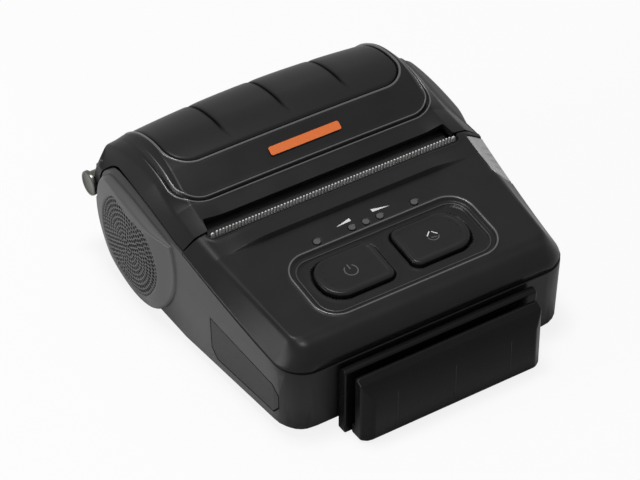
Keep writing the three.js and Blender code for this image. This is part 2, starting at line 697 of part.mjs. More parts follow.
const footPlaces = [RIGHT, LEFT].flatMap((side) => [
  [side * (BATTERY_HALF_WIDTH + FOOT_RADIUS + 3 * GAP), CASE_FRONT_Y + FOOT_INSET],
  [side * (BATTERY_HALF_WIDTH + FOOT_RADIUS + 3 * GAP), ROLL_Y + FOOT_INSET / 2],
]);

// Space of the release button over the facet and the side wall, grown by margin. Its lower edge swings down
// a little when it is pressed, so the margin there is double.
function releaseSpace(margin) {
  const rear = RELEASE_REAR_Y + margin;
  const front = RELEASE_FRONT_Y - margin;
  const innerX = (y) => seamHalfWidth(y) - FACET_WIDTH + RELEASE_INSET - margin;
  const corner = RELEASE_CORNER + margin;
  const cornerCentre = [innerX(front) + corner, front + corner];
  const plan = [
    [far, rear],
    [innerX(rear), rear],
    ...arc(cornerCentre, corner, HALF_TURN, HALF_TURN + QUARTER_TURN, CORNER_STEPS),
    [far, front],
  ];
  return alongZ(plan, RELEASE_BOTTOM_Z - 2 * margin, PRINTER_HEIGHT);
}

function lowerCase() {
  const region = alongX(lowerRegion(0), -far, far);
  const shell = cut(lowerShape.intersect(region), lowerCavity);
  const sill = alongX(
    [
      [ROLL_Y, HINGE_Z - 2 * EAR_RADIUS],
      [REAR_Y, HINGE_Z - 2 * EAR_RADIUS],
      [REAR_Y, HINGE_Z - BEAD_RADIUS - EAR_GAP],
      [ROLL_Y, HINGE_Z - BEAD_RADIUS - EAR_GAP],
    ],
    GAP - LUG_INNER_X,
    LUG_INNER_X - GAP,
  ).intersect(lowerShape).subtract(lowerCavity);
  const bayHalf = BATTERY_HALF_WIDTH + GAP;
  const bayFront = BATTERY_FRONT_Y - GAP;
  const bayRear = BATTERY_REAR_Y + GAP;
  const bayOpening = block([-bayHalf, bayHalf], [bayFront, bayRear], [-OVERRUN, BATTERY_TOP_Z + GAP]);
  const bayBox = block([-bayHalf - BATTERY_BAY_WALL, bayHalf + BATTERY_BAY_WALL],
    [bayFront - BATTERY_BAY_WALL, bayRear + BATTERY_BAY_WALL],
    [INNER_FLOOR_Z - WALL / 2, BATTERY_TOP_Z + GAP + BATTERY_BAY_WALL]).intersect(lowerShape);
  const latchBay = block(
    [-LATCH_WIDTH / 2 - GAP, LATCH_WIDTH / 2 + GAP],
    [BATTERY_REAR_Y, BATTERY_REAR_Y + LATCH_LENGTH + LATCH_TRAVEL + 2 * GAP],
    [-OVERRUN, FLOOR_Z + LATCH_THICKNESS + GAP],
  );
  const wallSkin = cut(caseForm(-WALL), caseForm(PORT_COVER_THICKNESS + GAP));
  const portRecess = alongX(portCoverOutline(GAP), -far, -IO_BOARD_X).intersect(wallSkin);
  const portWindow = alongX(portCoverOutline(-PORT_WINDOW_MARGIN), -far, -IO_BOARD_X);
  const lugs = [RIGHT, LEFT].map((side) => {
    const [from, to] = side === RIGHT
      ? [LUG_INNER_X, LUG_INNER_X + LUG_THICKNESS]
      : [-LUG_INNER_X - LUG_THICKNESS, -LUG_INNER_X];
    const web = alongX(
      [
        [HINGE_Y - BEAD_RADIUS, HINGE_Z],
        [HINGE_Y - BEAD_RADIUS, HINGE_Z - 2 * EAR_RADIUS],
        [REAR_Y, HINGE_Z - 2 * EAR_RADIUS],
        [REAR_Y, HINGE_Z],
      ],
      from,
      to,
    ).intersect(lowerShape);
    const eye = rodX([HINGE_Y, HINGE_Z], BEAD_RADIUS, from, to);
    const bore = rodX([HINGE_Y, HINGE_Z], STUD_SHAFT_RADIUS + GAP, from - WALL, to + WALL);
    return joined(web, eye).subtract(bore);
  });
  const bosses = screwPlaces.map((place) => rodZ(place, SCREW_BOSS_RADIUS, INNER_FLOOR_Z - WALL / 2,
    FRAME_FLOOR_Z - GAP, SMALL_ROUND_STEPS));
  const screwHoles = screwPlaces.flatMap((place) => [
    rodZ(place, SCREW_HEAD_RADIUS + GAP, -OVERRUN, FLOOR_Z + SCREW_HEAD_HEIGHT + GAP, SMALL_ROUND_STEPS),
    rodZ(place, SCREW_SHANK_RADIUS + GAP, -OVERRUN, FRAME_FLOOR_Z, SMALL_ROUND_STEPS),
  ]);
  const footSockets = footPlaces.map((place) => rodZ(place, FOOT_RADIUS + GAP, -OVERRUN,
    FLOOR_Z + FOOT_SOCKET_DEPTH + GAP));
  const body = joined(shell, sill, bayBox, ...lugs, ...bosses);
  return cut(body, bayOpening, latchBay, portRecess, portWindow, releaseSpace(GAP), ...screwHoles,
    ...footSockets);
}

// Upper case with the control panel.
const recessHalfLength = KEY_PITCH / 2 + KEY_LENGTH / 2 + RECESS_SIDE_MARGIN;
const recessHalfWidth = KEY_WIDTH / 2 + RECESS_MARGIN - GAP;
const flangeTop = -RECESS_DEPTH - SKIN - GAP;
const flangeBottom = flangeTop - FLANGE_THICKNESS;
const matTop = flangeBottom - KEY_TRAVEL - GAP;
const matBottom = matTop - KEY_MAT_THICKNESS;
const boardTop = matBottom - GAP;
const boardBottom = boardTop - BOARD_THICKNESS;
const lightRise = LIGHT_Y - KEY_Y;
const boardRear = lightRise / Math.cos(PANEL_ANGLE) + BOARD_MARGIN;
const boardFront = -KEY_WIDTH / 2 - 2 * BOARD_MARGIN;
const boardHalfLength = recessHalfLength + BOARD_MARGIN / 2;
const lightPlaces = {
  error_light: -SIDE_LIGHT_PITCH,
  battery_light_1: -BATTERY_LIGHT_PITCH,
  battery_light_2: 0,
  battery_light_3: BATTERY_LIGHT_PITCH,
  status_light: SIDE_LIGHT_PITCH,
};

function keyOutline(margin, side) {
  const outline = roundedRectangle(KEY_LENGTH / 2 + margin, KEY_WIDTH / 2 + margin,
    KEY_OUTER_RADIUS + margin, KEY_INNER_RADIUS + margin);
  const placed = outline.map(([u, v]) => [side * (u + KEY_PITCH / 2), v]);
  return side === RIGHT ? placed : placed.reverse();
}

function postPlaces() {
  const u = boardHalfLength - POST_RADIUS;
  return [RIGHT, LEFT].flatMap((side) => [
    [side * u, boardFront + POST_RADIUS],
    [side * u, boardRear - POST_RADIUS],
  ]);
}

function upperCase() {
  const side = [
    [CASE_FRONT_Y - OVERRUN, PRINTER_HEIGHT + OVERRUN],
    [CASE_FRONT_Y - OVERRUN, SEAM_FRONT_Z + GAP],
    ...seamLine(CASE_FRONT_Y, GAP).filter(([y]) => y < TEAR_Y),
    [LID_SPLIT_Y - SEAM_GAP, SEAM_SLOT_Z + GAP],
    [LID_SPLIT_Y - SEAM_GAP, PRINTER_HEIGHT + OVERRUN],
  ];
  const shell = cut(upperShape, upperCavity).intersect(alongX(side, -far, far));
  const plateau = alongX(
    [
      [TEAR_Y, RIM_Z],
      [PLATEAU_Y, PLATEAU_FRONT_Z + PLATEAU_STEP],
      [PLATEAU_Y, PLATEAU_FRONT_Z - CREASE_DROP],
      [TEAR_Y, RIM_Z - WALL],
    ],
    -PLATEAU_HALF_WIDTH,
    PLATEAU_HALF_WIDTH,
  );
  const backing = onPanel(
    roundedRectangle(recessHalfLength + WALL, recessHalfWidth + WALL, RECESS_RADIUS + WALL),
    KEY_Y,
    -RECESS_DEPTH - SKIN,
    -RECESS_DEPTH + GAP,
  );
  const posts = postPlaces().map((place) => onPanel(circle(place, POST_RADIUS, SMALL_ROUND_STEPS), KEY_Y,
    boardTop + GAP, -WALL / 2));
  const recess = onPanel(roundedRectangle(recessHalfLength, recessHalfWidth, RECESS_RADIUS), KEY_Y,
    -RECESS_DEPTH, OVERRUN);
  const keyHoles = [RIGHT, LEFT].map((hand) => onPanel(keyOutline(GAP, hand), KEY_Y, -OVERRUN, OVERRUN));
  const lightHoles = Object.values(lightPlaces).map((x) =>
    onPanel(circle([x, 0], LIGHT_RADIUS + GAP, SMALL_ROUND_STEPS), LIGHT_Y, -OVERRUN, OVERRUN));
  const tearHalf = TEAR_BAR_LENGTH / 2 + GAP;
  const tearLedge = block([-tearHalf, tearHalf], [TEAR_Y - TEAR_BAR_THICKNESS - GAP, TEAR_Y + OVERRUN],
    [-OVERRUN, PRINTER_HEIGHT]);
  const slotEnds = block([-SLOT_HALF_LENGTH, SLOT_HALF_LENGTH], [TEAR_Y, TEAR_Y + OVERRUN],
    [-OVERRUN, PRINTER_HEIGHT]);
  const body = joined(shell, plateau, backing, ...posts);
  return cut(body, recess, ...keyHoles, ...lightHoles, tearLedge, slotEnds, releaseSpace(GAP));
}

function key(side) {
  const cap = onPanel(keyOutline(0, side), KEY_Y, (flangeBottom + flangeTop) / 2, KEY_PROUD);
  return cap.add(onPanel(keyOutline(FLANGE_LIP, side), KEY_Y, flangeBottom, flangeTop));
}

function keyMat() {
  const halfLength = KEY_PITCH / 2 + KEY_LENGTH / 2 + FLANGE_LIP;
  return onPanel(roundedRectangle(halfLength, KEY_WIDTH / 2, KEY_INNER_RADIUS), KEY_Y, matBottom, matTop);
}

function controlBoard() {
  const outline = [
    [-boardHalfLength, boardFront],
    [boardHalfLength, boardFront],
    [boardHalfLength, boardRear],
    [-boardHalfLength, boardRear],
  ];
  return onPanel(outline, KEY_Y, boardBottom, boardTop);
}

const light = (x) => onPanel(circle([x, 0], LIGHT_RADIUS, SMALL_ROUND_STEPS), LIGHT_Y,
  boardTop + GAP, LIGHT_PROUD);

// Tear bar: a steel strip with a row of teeth along its upper edge.
function tearBar() {
  const count = Math.round(TEAR_BAR_LENGTH / TOOTH_PITCH);
  const pitch = TEAR_BAR_LENGTH / count;
  const tip = RIM_Z + CREASE_DROP;
  const left = -TEAR_BAR_LENGTH / 2;
  const outline = [[-left, tip - TEAR_BAR_HEIGHT], [left, tip - TEAR_BAR_HEIGHT], [left, tip - TOOTH_DEPTH]];
  for (let i = 0; i < count; i++) {
    outline.push([left + pitch * (i + 1 / 2), tip], [left + pitch * (i + 1), tip - TOOTH_DEPTH]);
  }
  return alongY(outline, TEAR_Y - TEAR_BAR_THICKNESS, TEAR_Y);
}

// Print head, its cooling plate and the springs that press it on the platen.
const headTopZ = RIM_Z + CREASE_DROP - TEAR_BAR_HEIGHT - GAP;
const headPlateTopZ = topHeight(headPlateFrontY, WALL) - CREASE_DROP - GAP;

const printHead = () => block([-PLATEN_HALF_LENGTH, PLATEN_HALF_LENGTH], [headFrontY, headRearY],
  [PLATEN_Z - HEAD_DROP_BELOW_PLATEN, headTopZ]);
const headPlate = () => block([-BAY_HALF_WIDTH, BAY_HALF_WIDTH], [headPlateFrontY, headFrontY - GAP],
  [PLATEN_Z - HEAD_DROP_BELOW_PLATEN - HEAD_PLATE_OVERLAP, headPlateTopZ]);

// A coil of round wire along Y. Its turns come from one helix, and its least gap is measured on points.
function coilSpring(x, startY, z) {
  const stepsPerTurn = 8;
  const sides = 5;
  const steps = SPRING_TURNS * stepsPerTurn;
  const reach = SPRING_LENGTH - 2 * SPRING_WIRE_RADIUS;
  const centre = (i) => {
    const angle = (2 * Math.PI * i) / stepsPerTurn;
    return new THREE.Vector3(
      x + SPRING_COIL_RADIUS * Math.cos(angle),
      startY + SPRING_WIRE_RADIUS + (reach * i) / steps,
      z + SPRING_COIL_RADIUS * Math.sin(angle),
    );
  };
  const rings = [];
  for (let i = 0; i <= steps; i++) {
    const angle = (2 * Math.PI * i) / stepsPerTurn;
    const outwards = new THREE.Vector3(Math.cos(angle), 0, Math.sin(angle));
    const ring = [];
    for (let j = 0; j < sides; j++) {
      const turn = (2 * Math.PI * j) / sides;
      const point = centre(i)
        .addScaledVector(outwards, SPRING_WIRE_RADIUS * Math.cos(turn))
        .addScaledVector(Y_AXIS, SPRING_WIRE_RADIUS * Math.sin(turn));
      ring.push(point.toArray());
    }
    rings.push(ring);
  }
  let leastGap = Infinity;
  for (let i = 0; i <= steps; i++) {
    for (let k = i + stepsPerTurn / 2; k <= steps; k++) {
      leastGap = Math.min(leastGap, centre(i).distanceTo(centre(k)) - 2 * SPRING_WIRE_RADIUS);
    }
  }
  console.log(`head spring: least gap between turns ${leastGap.toFixed(2)} mm`);
  return springSkin(rings);
}

// The wire's skin has ends whose planes are square to X, so they are closed by fans.
function springSkin(rings) {
  const sides = rings[0].length;
  const faces = [];
  for (let i = 0; i + 1 < rings.length; i++) {
    for (let j = 0; j < sides; j++) {
      const next = (j + 1) % sides;
      const [a, b] = [i * sides + j, i * sides + next];
      faces.push(a, b, b + sides, a, b + sides, a + sides);
    }
  }
  const last = (rings.length - 1) * sides;
  for (let j = 1; j + 1 < sides; j++) faces.push(0, j + 1, j, last, last + j, last + j + 1);
  const geometry = new THREE.BufferGeometry();
  geometry.setAttribute('position', new THREE.Float32BufferAttribute(rings.flat(2), 3));
  geometry.setIndex(faces);
  return outward(toSolid(geometry));
}

// Gear train: the motor's pinion drives an idler, which drives the gear on the platen's shaft.
const centreDistance = (a, b) => (GEAR_MODULE * (a + b)) / 2;
const along = ([y, z], distance, degrees) => {
  const angle = THREE.MathUtils.degToRad(degrees);
  return [y + distance * Math.cos(angle), z + distance * Math.sin(angle)];
};
const platenCentre = [PLATEN_Y, PLATEN_Z];
const idlerCentre = along(platenCentre, centreDistance(PLATEN_TEETH, IDLER_TEETH), IDLER_ANGLE);
const pinionCentre = along(idlerCentre, centreDistance(IDLER_TEETH, PINION_TEETH), PINION_ANGLE);

const gearTipRadius = (teeth) => (GEAR_MODULE * teeth) / 2 + GEAR_MODULE * TIP_SHARE;

// Gear outline with straight-sided teeth; the middle of one tooth points along phase, in degrees.
function gearOutline(centre, teeth, phase) {
  const pitchRadius = (GEAR_MODULE * teeth) / 2;
  const tipRadius = gearTipRadius(teeth);
  const rootRadius = pitchRadius - GEAR_MODULE * ROOT_SHARE;
  const step = FULL_TURN / teeth;
  const slack = THREE.MathUtils.radToDeg(GEAR_BACKLASH / pitchRadius) / 2;
  const rootHalf = step * TOOTH_ROOT_SHARE - slack;
  const tipHalf = step * TOOTH_TIP_SHARE - slack / 2;
  const outline = [];
  for (let i = 0; i < teeth; i++) {
    const middle = phase + i * step;
    outline.push(
      along(centre, rootRadius, middle - rootHalf),
      along(centre, tipRadius, middle - tipHalf),
      along(centre, tipRadius, middle + tipHalf),
      along(centre, rootRadius, middle + rootHalf),
    );
  }
  return outline;
}

// Phase that puts a gap of this gear on the line towards a neighbour whose tooth points back along it.
function matingPhase(towards, ownTeeth, neighbourTeeth, neighbourPhase) {
  const neighbourStep = FULL_TURN / neighbourTeeth;
  const back = towards + HALF_TURN;
  const offset = (back - neighbourPhase) / neighbourStep;
  const neighbourShare = offset - Math.floor(offset);
  const ownStep = FULL_TURN / ownTeeth;
  return towards + ownStep * (1 / 2 + neighbourShare);
}

const platenPhase = IDLER_ANGLE;
const idlerPhase = matingPhase(IDLER_ANGLE + HALF_TURN, IDLER_TEETH, PLATEN_TEETH, platenPhase);
const pinionPhase = matingPhase(PINION_ANGLE + HALF_TURN, PINION_TEETH, IDLER_TEETH, idlerPhase);

function gear(centre, teeth, phase, bore) {
  const outline = gearOutline(centre, teeth, phase);
  const wheel = alongX(outline, -GEAR_X - GEAR_THICKNESS, -GEAR_X);
  return bore ? wheel.subtract(rodX(centre, bore, -far, 0, SMALL_ROUND_STEPS)) : wheel;
}

function motorPinion() {
  const shaftEnd = -PLATE_INNER_X + GAP + 2 * PLATE_THICKNESS;
  const shaft = rodX(pinionCentre, GEAR_BORE_RADIUS - GAP, -GEAR_X, shaftEnd, SMALL_ROUND_STEPS);
  return gear(pinionCentre, PINION_TEETH, pinionPhase, 0).add(shaft);
}

function stepperMotor() {
  const outer = -PLATE_INNER_X + GAP;
  const body = rodX(pinionCentre, MOTOR_RADIUS, outer, outer + MOTOR_LENGTH);
  return body.subtract(rodX(pinionCentre, GEAR_BORE_RADIUS, outer - WALL, outer + 2 * PLATE_THICKNESS + GAP,
    SMALL_ROUND_STEPS));
}

// Steel frame: a floor, a web in front of the springs and two side plates with notches for the bushes.
function headFrame() {
  const frontY = TEAR_Y - FRAME_FRONT_REACH;
  const rearY = TEAR_Y + FRAME_REAR_REACH;
  const topZ = PLATEN_Z + BUSH_RADIUS;
  const lowTopZ = PLATEN_Z - BUSH_RADIUS;
  const bottomZ = INNER_FLOOR_Z + GAP;
  const plateOutline = [
    [frontY, bottomZ],
    [rearY, bottomZ],
    [rearY, PLATEN_Z],
    [rearY - GAP, topZ],
    [TEAR_Y - PLATE_THICKNESS, topZ],
    [TEAR_Y - PLATE_THICKNESS, lowTopZ],
    [webFrontY, lowTopZ],
    [frontY, lowTopZ - BUSH_RADIUS],
  ];
  const notchRadius = BUSH_RADIUS + GAP;
  const notch = [
    ...arc(platenCentre, notchRadius, HALF_TURN, FULL_TURN, SMALL_ROUND_STEPS / 2),
    [PLATEN_Y + notchRadius + BUSH_LENGTH, topZ + OVERRUN],
    [PLATEN_Y - notchRadius, topZ + OVERRUN],
  ];
  const plates = [RIGHT, LEFT].map((side) => {
    const [from, to] = side === RIGHT ? [PLATE_INNER_X, PLATE_OUTER_X] : [-PLATE_OUTER_X, -PLATE_INNER_X];
    return cut(alongX(plateOutline, from, to), alongX(notch, from - WALL, to + WALL));
  });
  const floor = block([-PLATE_OUTER_X, PLATE_OUTER_X], [webFrontY, TEAR_Y + FRAME_FLOOR_REACH],
    [FRAME_FLOOR_Z, FRAME_FLOOR_Z + PLATE_THICKNESS]);
  const webLeft = -PLATE_INNER_X + MOTOR_LENGTH + 2 * PLATE_THICKNESS;
  const web = block([webLeft, BAY_HALF_WIDTH], [webFrontY, webRearY],
    [FRAME_FLOOR_Z, FRAME_FLOOR_Z + WEB_HEIGHT]);
  const ear = block([PLATE_INNER_X, leverX + LEVER_EAR / 2],
    [leverPivotY - LEVER_EAR / 2, leverPivotY + LEVER_EAR / 2],
    [leverBottomZ - GAP - LEVER_PIN_LENGTH, leverBottomZ - GAP]);
  const earHole = rodZ([leverX, leverPivotY], LEVER_PIN_RADIUS + GAP, 0, leverBottomZ, SMALL_ROUND_STEPS);
  const idlerPost = rodX(idlerCentre, GEAR_BORE_RADIUS - GAP, -GEAR_X - GEAR_THICKNESS, -PLATE_INNER_X,
    SMALL_ROUND_STEPS);
  const motorClearance = rodX(pinionCentre, MOTOR_RADIUS + GAP, -PLATE_INNER_X, webLeft);
  const pinionHole = rodX(pinionCentre, GEAR_BORE_RADIUS + GAP, -far, 0, SMALL_ROUND_STEPS);
  const screwHoles = screwPlaces.map((place) => rodZ(place, SCREW_SHANK_RADIUS + GAP, 0,
    FRAME_FLOOR_Z + 2 * PLATE_THICKNESS, SMALL_ROUND_STEPS));
  const body = joined(...plates, cut(joined(floor, web), motorClearance), idlerPost, ear);
  return cut(body, pinionHole, earHole, ...screwHoles)
    .intersect(caseForm(WALL + GAP))
    .intersect(upperForm(WALL + GAP));
}

// Platen: a rubber roller on a steel shaft that turns in two bushes.
const platenShaft = () => rodX(platenCentre, SHAFT_RADIUS, -GEAR_X - GEAR_THICKNESS,
  PLATE_OUTER_X + PLATE_THICKNESS);
const platenRoller = () => rodX(platenCentre, PLATEN_RADIUS, -PLATEN_HALF_LENGTH, PLATEN_HALF_LENGTH)
  .subtract(rodX(platenCentre, SHAFT_RADIUS + GAP / 2, -far, far));
const bushInnerX = PLATE_INNER_X - GAP / 2;

function platenBush(side) {
  const [from, to] = side === RIGHT
    ? [bushInnerX, bushInnerX + BUSH_LENGTH]
    : [-bushInnerX - BUSH_LENGTH, -bushInnerX];
  const bore = rodX(platenCentre, SHAFT_RADIUS + GAP / 2, -far, far);
  return rodX(platenCentre, BUSH_RADIUS, from, to).subtract(bore);
}

// Paper bay: a trough with two side walls, and the sensor that rests on its front.
function paperBay() {
  const outer = BAY_RADIUS + BAY_WALL;
  const half = BAY_HALF_WIDTH + PLATE_THICKNESS;
  const drum = rodX([ROLL_Y, ROLL_Z], outer, -half, half, 2 * ROUND_STEPS);
  const hollow = rodX([ROLL_Y, ROLL_Z], BAY_RADIUS, -BAY_HALF_WIDTH, BAY_HALF_WIDTH, 2 * ROUND_STEPS);
  const above = block([-far, far], [-far, far], [BAY_TOP_Z, PRINTER_HEIGHT + OVERRUN]);
  const beadZone = rodX([HINGE_Y, HINGE_Z], BEAD_RADIUS + 2 * EAR_GAP, -far, far);
  const behindHinge = block([-far, far], [HINGE_Y - BEAD_RADIUS, far],
    [HINGE_Z - BEAD_RADIUS, PRINTER_HEIGHT]);
  const platenZone = rodX(platenCentre, PLATEN_RADIUS + 2 * GAP, -far, far);
  return cut(drum, hollow, above, beadZone, behindHinge, platenZone).intersect(caseForm(WALL + GAP / 2));
}

function paperSensor() {
  const middleZ = (FRAME_FLOOR_Z + PLATEN_Z - PLATEN_RADIUS) / 2;
  const drop = ROLL_Z - middleZ - SENSOR_HEIGHT / 2;
  const rear = ROLL_Y - Math.sqrt((BAY_RADIUS + BAY_WALL) ** 2 - drop ** 2) - GAP;
  return block([-SENSOR_LENGTH / 2, SENSOR_LENGTH / 2], [rear - SENSOR_DEPTH, rear],
    [middleZ - SENSOR_HEIGHT / 2, middleZ + SENSOR_HEIGHT / 2]);
}

// Steel studs: each is the lid's pivot and ends in a flanged head for a carrying strap.
const earOuterX = LUG_INNER_X + LUG_THICKNESS + GAP + EAR_THICKNESS;

function strapStud(side) {
  const neckStart = earOuterX + GAP;
  const headStart = neckStart + STUD_NECK_LENGTH;
  const headEnd = headStart + STUD_HEAD_THICKNESS;
  const profile = [
    [0, side * LUG_INNER_X],
    [STUD_SHAFT_RADIUS, side * LUG_INNER_X],
    [STUD_SHAFT_RADIUS, side * neckStart],
    [STUD_NECK_RADIUS, side * neckStart],
    [STUD_NECK_RADIUS, side * headStart],
    [STUD_HEAD_RADIUS, side * headStart],
    [STUD_HEAD_RADIUS, side * headEnd],
    [0, side * headEnd],
  ];
  return turnedX(profile, [HINGE_Y, HINGE_Z]);
}

// Lid shell with its hinge bead and ears.
function padRegion(margin) {
  const reach = HOUSING_RADIUS + OVERRUN;
  const front = QUARTER_TURN + PAD_FRONT_ANGLE;
  const rear = QUARTER_TURN - PAD_REAR_ANGLE;
  const spread = THREE.MathUtils.radToDeg(margin / HOUSING_RADIUS);
  const fan = arc([ROLL_Y, ROLL_Z], reach, rear - spread, front + spread, CORNER_STEPS);
  const outline = [[ROLL_Y, ROLL_Z], ...fan];
  return alongX(outline, -PAD_HALF_WIDTH - margin, PAD_HALF_WIDTH + margin);
}

const shoulderAngle = THREE.MathUtils.degToRad(SHOULDER_ANGLE);
const shoulderY = ROLL_Y - HOUSING_RADIUS * Math.sin(shoulderAngle);
const shoulderZ = ROLL_Z + HOUSING_RADIUS * Math.cos(shoulderAngle);
const bandAngle = Math.atan2(shoulderZ - GROOVE_Z, shoulderY - GROOVE_Y);
const bandCentre = [(GROOVE_Y + shoulderY) / 2, (GROOVE_Z + shoulderZ) / 2];

// A plate square to the sloping band at the front of the lid.
function onBand(halfLength, halfWidth, from, to) {
  const geometry = flatPrism(roundedRectangle(halfLength, halfWidth, NAME_PLATE_THICKNESS), to - from);
  geometry.translate(0, 0, from).rotateX(bandAngle);
  return toSolid(geometry.translate(0, ...bandCentre));
}

function lidShell() {
  const region = alongX(lidRegion(), -far, far);
  const shell = cut(upperShape, upperCavity).intersect(region);
  const betweenEars = LUG_INNER_X + LUG_THICKNESS + GAP;
  const rearTrim = block([-betweenEars, betweenEars], [DIVE_START_Y, HALF_LENGTH + OVERRUN],
    [-OVERRUN, HINGE_Z]);
  const beadHalf = LUG_INNER_X - GAP;
  const bead = rodX([HINGE_Y, HINGE_Z], BEAD_RADIUS, -beadHalf, beadHalf);
  const lugRadius = BEAD_RADIUS + EAR_RADIUS / 2 - CREASE_DROP;
  const cuts = [RIGHT, LEFT].flatMap((side) => {
    const span = (near, away) => (side === RIGHT ? [near, away] : [-away, -near]);
    const [lugFrom, lugTo] = span(LUG_INNER_X - GAP, betweenEars);
    const [faceFrom, faceTo] = span(earOuterX, far);
    const [holeFrom, holeTo] = span(betweenEars - WALL, far);
    return [
      rodX([HINGE_Y, HINGE_Z], lugRadius, lugFrom, lugTo),
      rodX([HINGE_Y, HINGE_Z], STUD_NECK_RADIUS + 2 * GAP, faceFrom, faceTo),
      rodX([HINGE_Y, HINGE_Z], STUD_SHAFT_RADIUS + GAP, holeFrom, holeTo),
    ];
  });
  const ears = [RIGHT, LEFT].map((side) => {
    const [from, to] = side === RIGHT ? [betweenEars, far] : [-far, -betweenEars];
    return rodX([HINGE_Y, HINGE_Z], EAR_RADIUS, from, to).intersect(upperShape);
  });
  const slot = block([-SLOT_HALF_LENGTH, SLOT_HALF_LENGTH], [-far, LID_FRONT_Y], [-OVERRUN, PRINTER_HEIGHT]);
  const gearZone = rodX(platenCentre, gearTipRadius(PLATEN_TEETH) + GAP, -GEAR_X - GEAR_THICKNESS - GAP,
    -PLATE_OUTER_X);
  const padRecess = padRegion(GAP).subtract(upperForm(PAD_THICKNESS + GAP));
  const plateRecess = onBand(NAME_PLATE_LENGTH / 2 + GAP, NAME_PLATE_WIDTH / 2 + GAP,
    -NAME_PLATE_DEPTH - NAME_PLATE_THICKNESS - GAP, OVERRUN);
  const body = joined(shell.subtract(rearTrim), bead, ...ears);
  return cut(body, ...cuts, slot, gearZone, padRecess, plateRecess);
}

const lidPad = () => padRegion(0).intersect(upperShape.subtract(upperForm(PAD_THICKNESS)));
const namePlate = () => onBand(NAME_PLATE_LENGTH / 2, NAME_PLATE_WIDTH / 2,
  -NAME_PLATE_DEPTH - NAME_PLATE_THICKNESS, -NAME_PLATE_DEPTH);

// Inner frame of the lid: a cross beam with two arms that hold the platen, and a catch on the right.
function lidFrame() {
  const armOuterX = bushInnerX - GAP;
  const armInnerX = armOuterX - ARM_THICKNESS;
  const beamFrontY = GROOVE_Y - BEAM_SETBACK;
  const beamTopZ = topHeight(beamFrontY, WALL) - GAP;
  const beam = block([-armOuterX, armOuterX], [beamFrontY, beamFrontY + BEAM_DEPTH],
    [beamTopZ - BEAM_HEIGHT, beamTopZ]);
  const armOutline = [
    [PLATEN_Y - ARM_EYE_RADIUS / 2, PLATEN_Z + ARM_EYE_RADIUS / 2],
    [beamFrontY, beamTopZ],
    [beamFrontY + BEAM_DEPTH, beamTopZ],
    [beamFrontY + BEAM_DEPTH, beamTopZ - BEAM_HEIGHT],
    [PLATEN_Y + ARM_EYE_RADIUS / 2, PLATEN_Z - ARM_EYE_RADIUS / 2],
  ];
  const arms = [[armInnerX, armOuterX], [-armOuterX, -armInnerX]].map(([from, to]) =>
    joined(alongX(armOutline, from, to), rodX(platenCentre, ARM_EYE_RADIUS, from, to)));
  const shaftHole = rodX(platenCentre, SHAFT_RADIUS + GAP, -far, far);
  return joined(beam, ...arms).subtract(shaftHole).intersect(upperForm(WALL + GAP));
}

// Domed side covers over the ends of the paper housing.
function sideCover(side) {
  const outerX = CASE_HALF_WIDTH + COVER_DOME;
  const rimX = outerX - COVER_RIM;
  const inner = CASE_HALF_WIDTH - EDGE_ROUND;
  const domeSteps = 5;
  const dome = (radius, top) => {
    const points = [];
    for (let i = 0; i <= domeSteps; i++) {
      const share = i / domeSteps;
      points.push([radius * share, side * (top - (top - rimX + outerX - top) * share ** 2)]);
    }
    return points;
  };
  const profile = [
    ...dome(COVER_RADIUS - COVER_RIM / 2, outerX),
    [COVER_RADIUS, side * (rimX - COVER_RIM)],
    [COVER_RADIUS, side * inner],
    [0, side * inner],
  ];
  const outer = turnedX(profile, [COVER_Y, COVER_Z], 2 * ROUND_STEPS);
  const [from, to] = side === RIGHT ? [inner - WALL, rimX - COVER_WALL] : [COVER_WALL - rimX, WALL - inner];
  const hollow = rodX([COVER_Y, COVER_Z], COVER_RADIUS - COVER_WALL, from, to, 2 * ROUND_STEPS);
  const below = alongX(lowerRegion(-COVER_DROP), -far, far);
  return cut(outer, hollow, caseForm(-GAP)).intersect(below);
}

// Port cover on the left and the sockets behind it.
const portCover = () => cut(lowerShape, caseForm(PORT_COVER_THICKNESS))
  .intersect(alongX(portCoverOutline(0), -far, -IO_BOARD_X));
const serialY = CASE_FRONT_Y + PORT_COVER_FRONT_MARGIN + PORT_WINDOW_MARGIN + SERIAL_LENGTH / 2;
const usbY = serialY + SERIAL_LENGTH / 2 + SOCKET_SPACING + USB_LENGTH / 2;
const jackY = usbY + USB_LENGTH / 2 + SOCKET_SPACING + JACK_RADIUS;
const ioBoardOuterX = IO_BOARD_X + BOARD_THICKNESS;
const socketInnerX = ioBoardOuterX + GAP;
const socketOuterX = socketInnerX + SOCKET_REACH;
const ioBoard = () => block([-ioBoardOuterX, -IO_BOARD_X],
  [CASE_FRONT_Y + PORT_COVER_FRONT_MARGIN, pinionCentre[0] - MOTOR_RADIUS - GAP],
  [INNER_FLOOR_Z + GAP, MAIN_BOARD_Z - GAP]);

function boxSocket(y, length, height) {
  const shell = block([-socketOuterX, -socketInnerX], [y - length / 2, y + length / 2],
    [SOCKET_Z - height / 2, SOCKET_Z + height / 2]);
  const mouth = block([-socketOuterX - WALL, -socketInnerX - SOCKET_WALL],
    [y - length / 2 + SOCKET_WALL, y + length / 2 - SOCKET_WALL],
    [SOCKET_Z - height / 2 + SOCKET_WALL, SOCKET_Z + height / 2 - SOCKET_WALL]);
  return shell.subtract(mouth);
}

function powerJack() {
  const centre = [jackY, SOCKET_Z];
  return rodX(centre, JACK_RADIUS, -socketOuterX, -socketInnerX)
    .subtract(rodX(centre, JACK_HOLE_RADIUS, -socketOuterX - WALL, -socketInnerX - SOCKET_WALL));
}

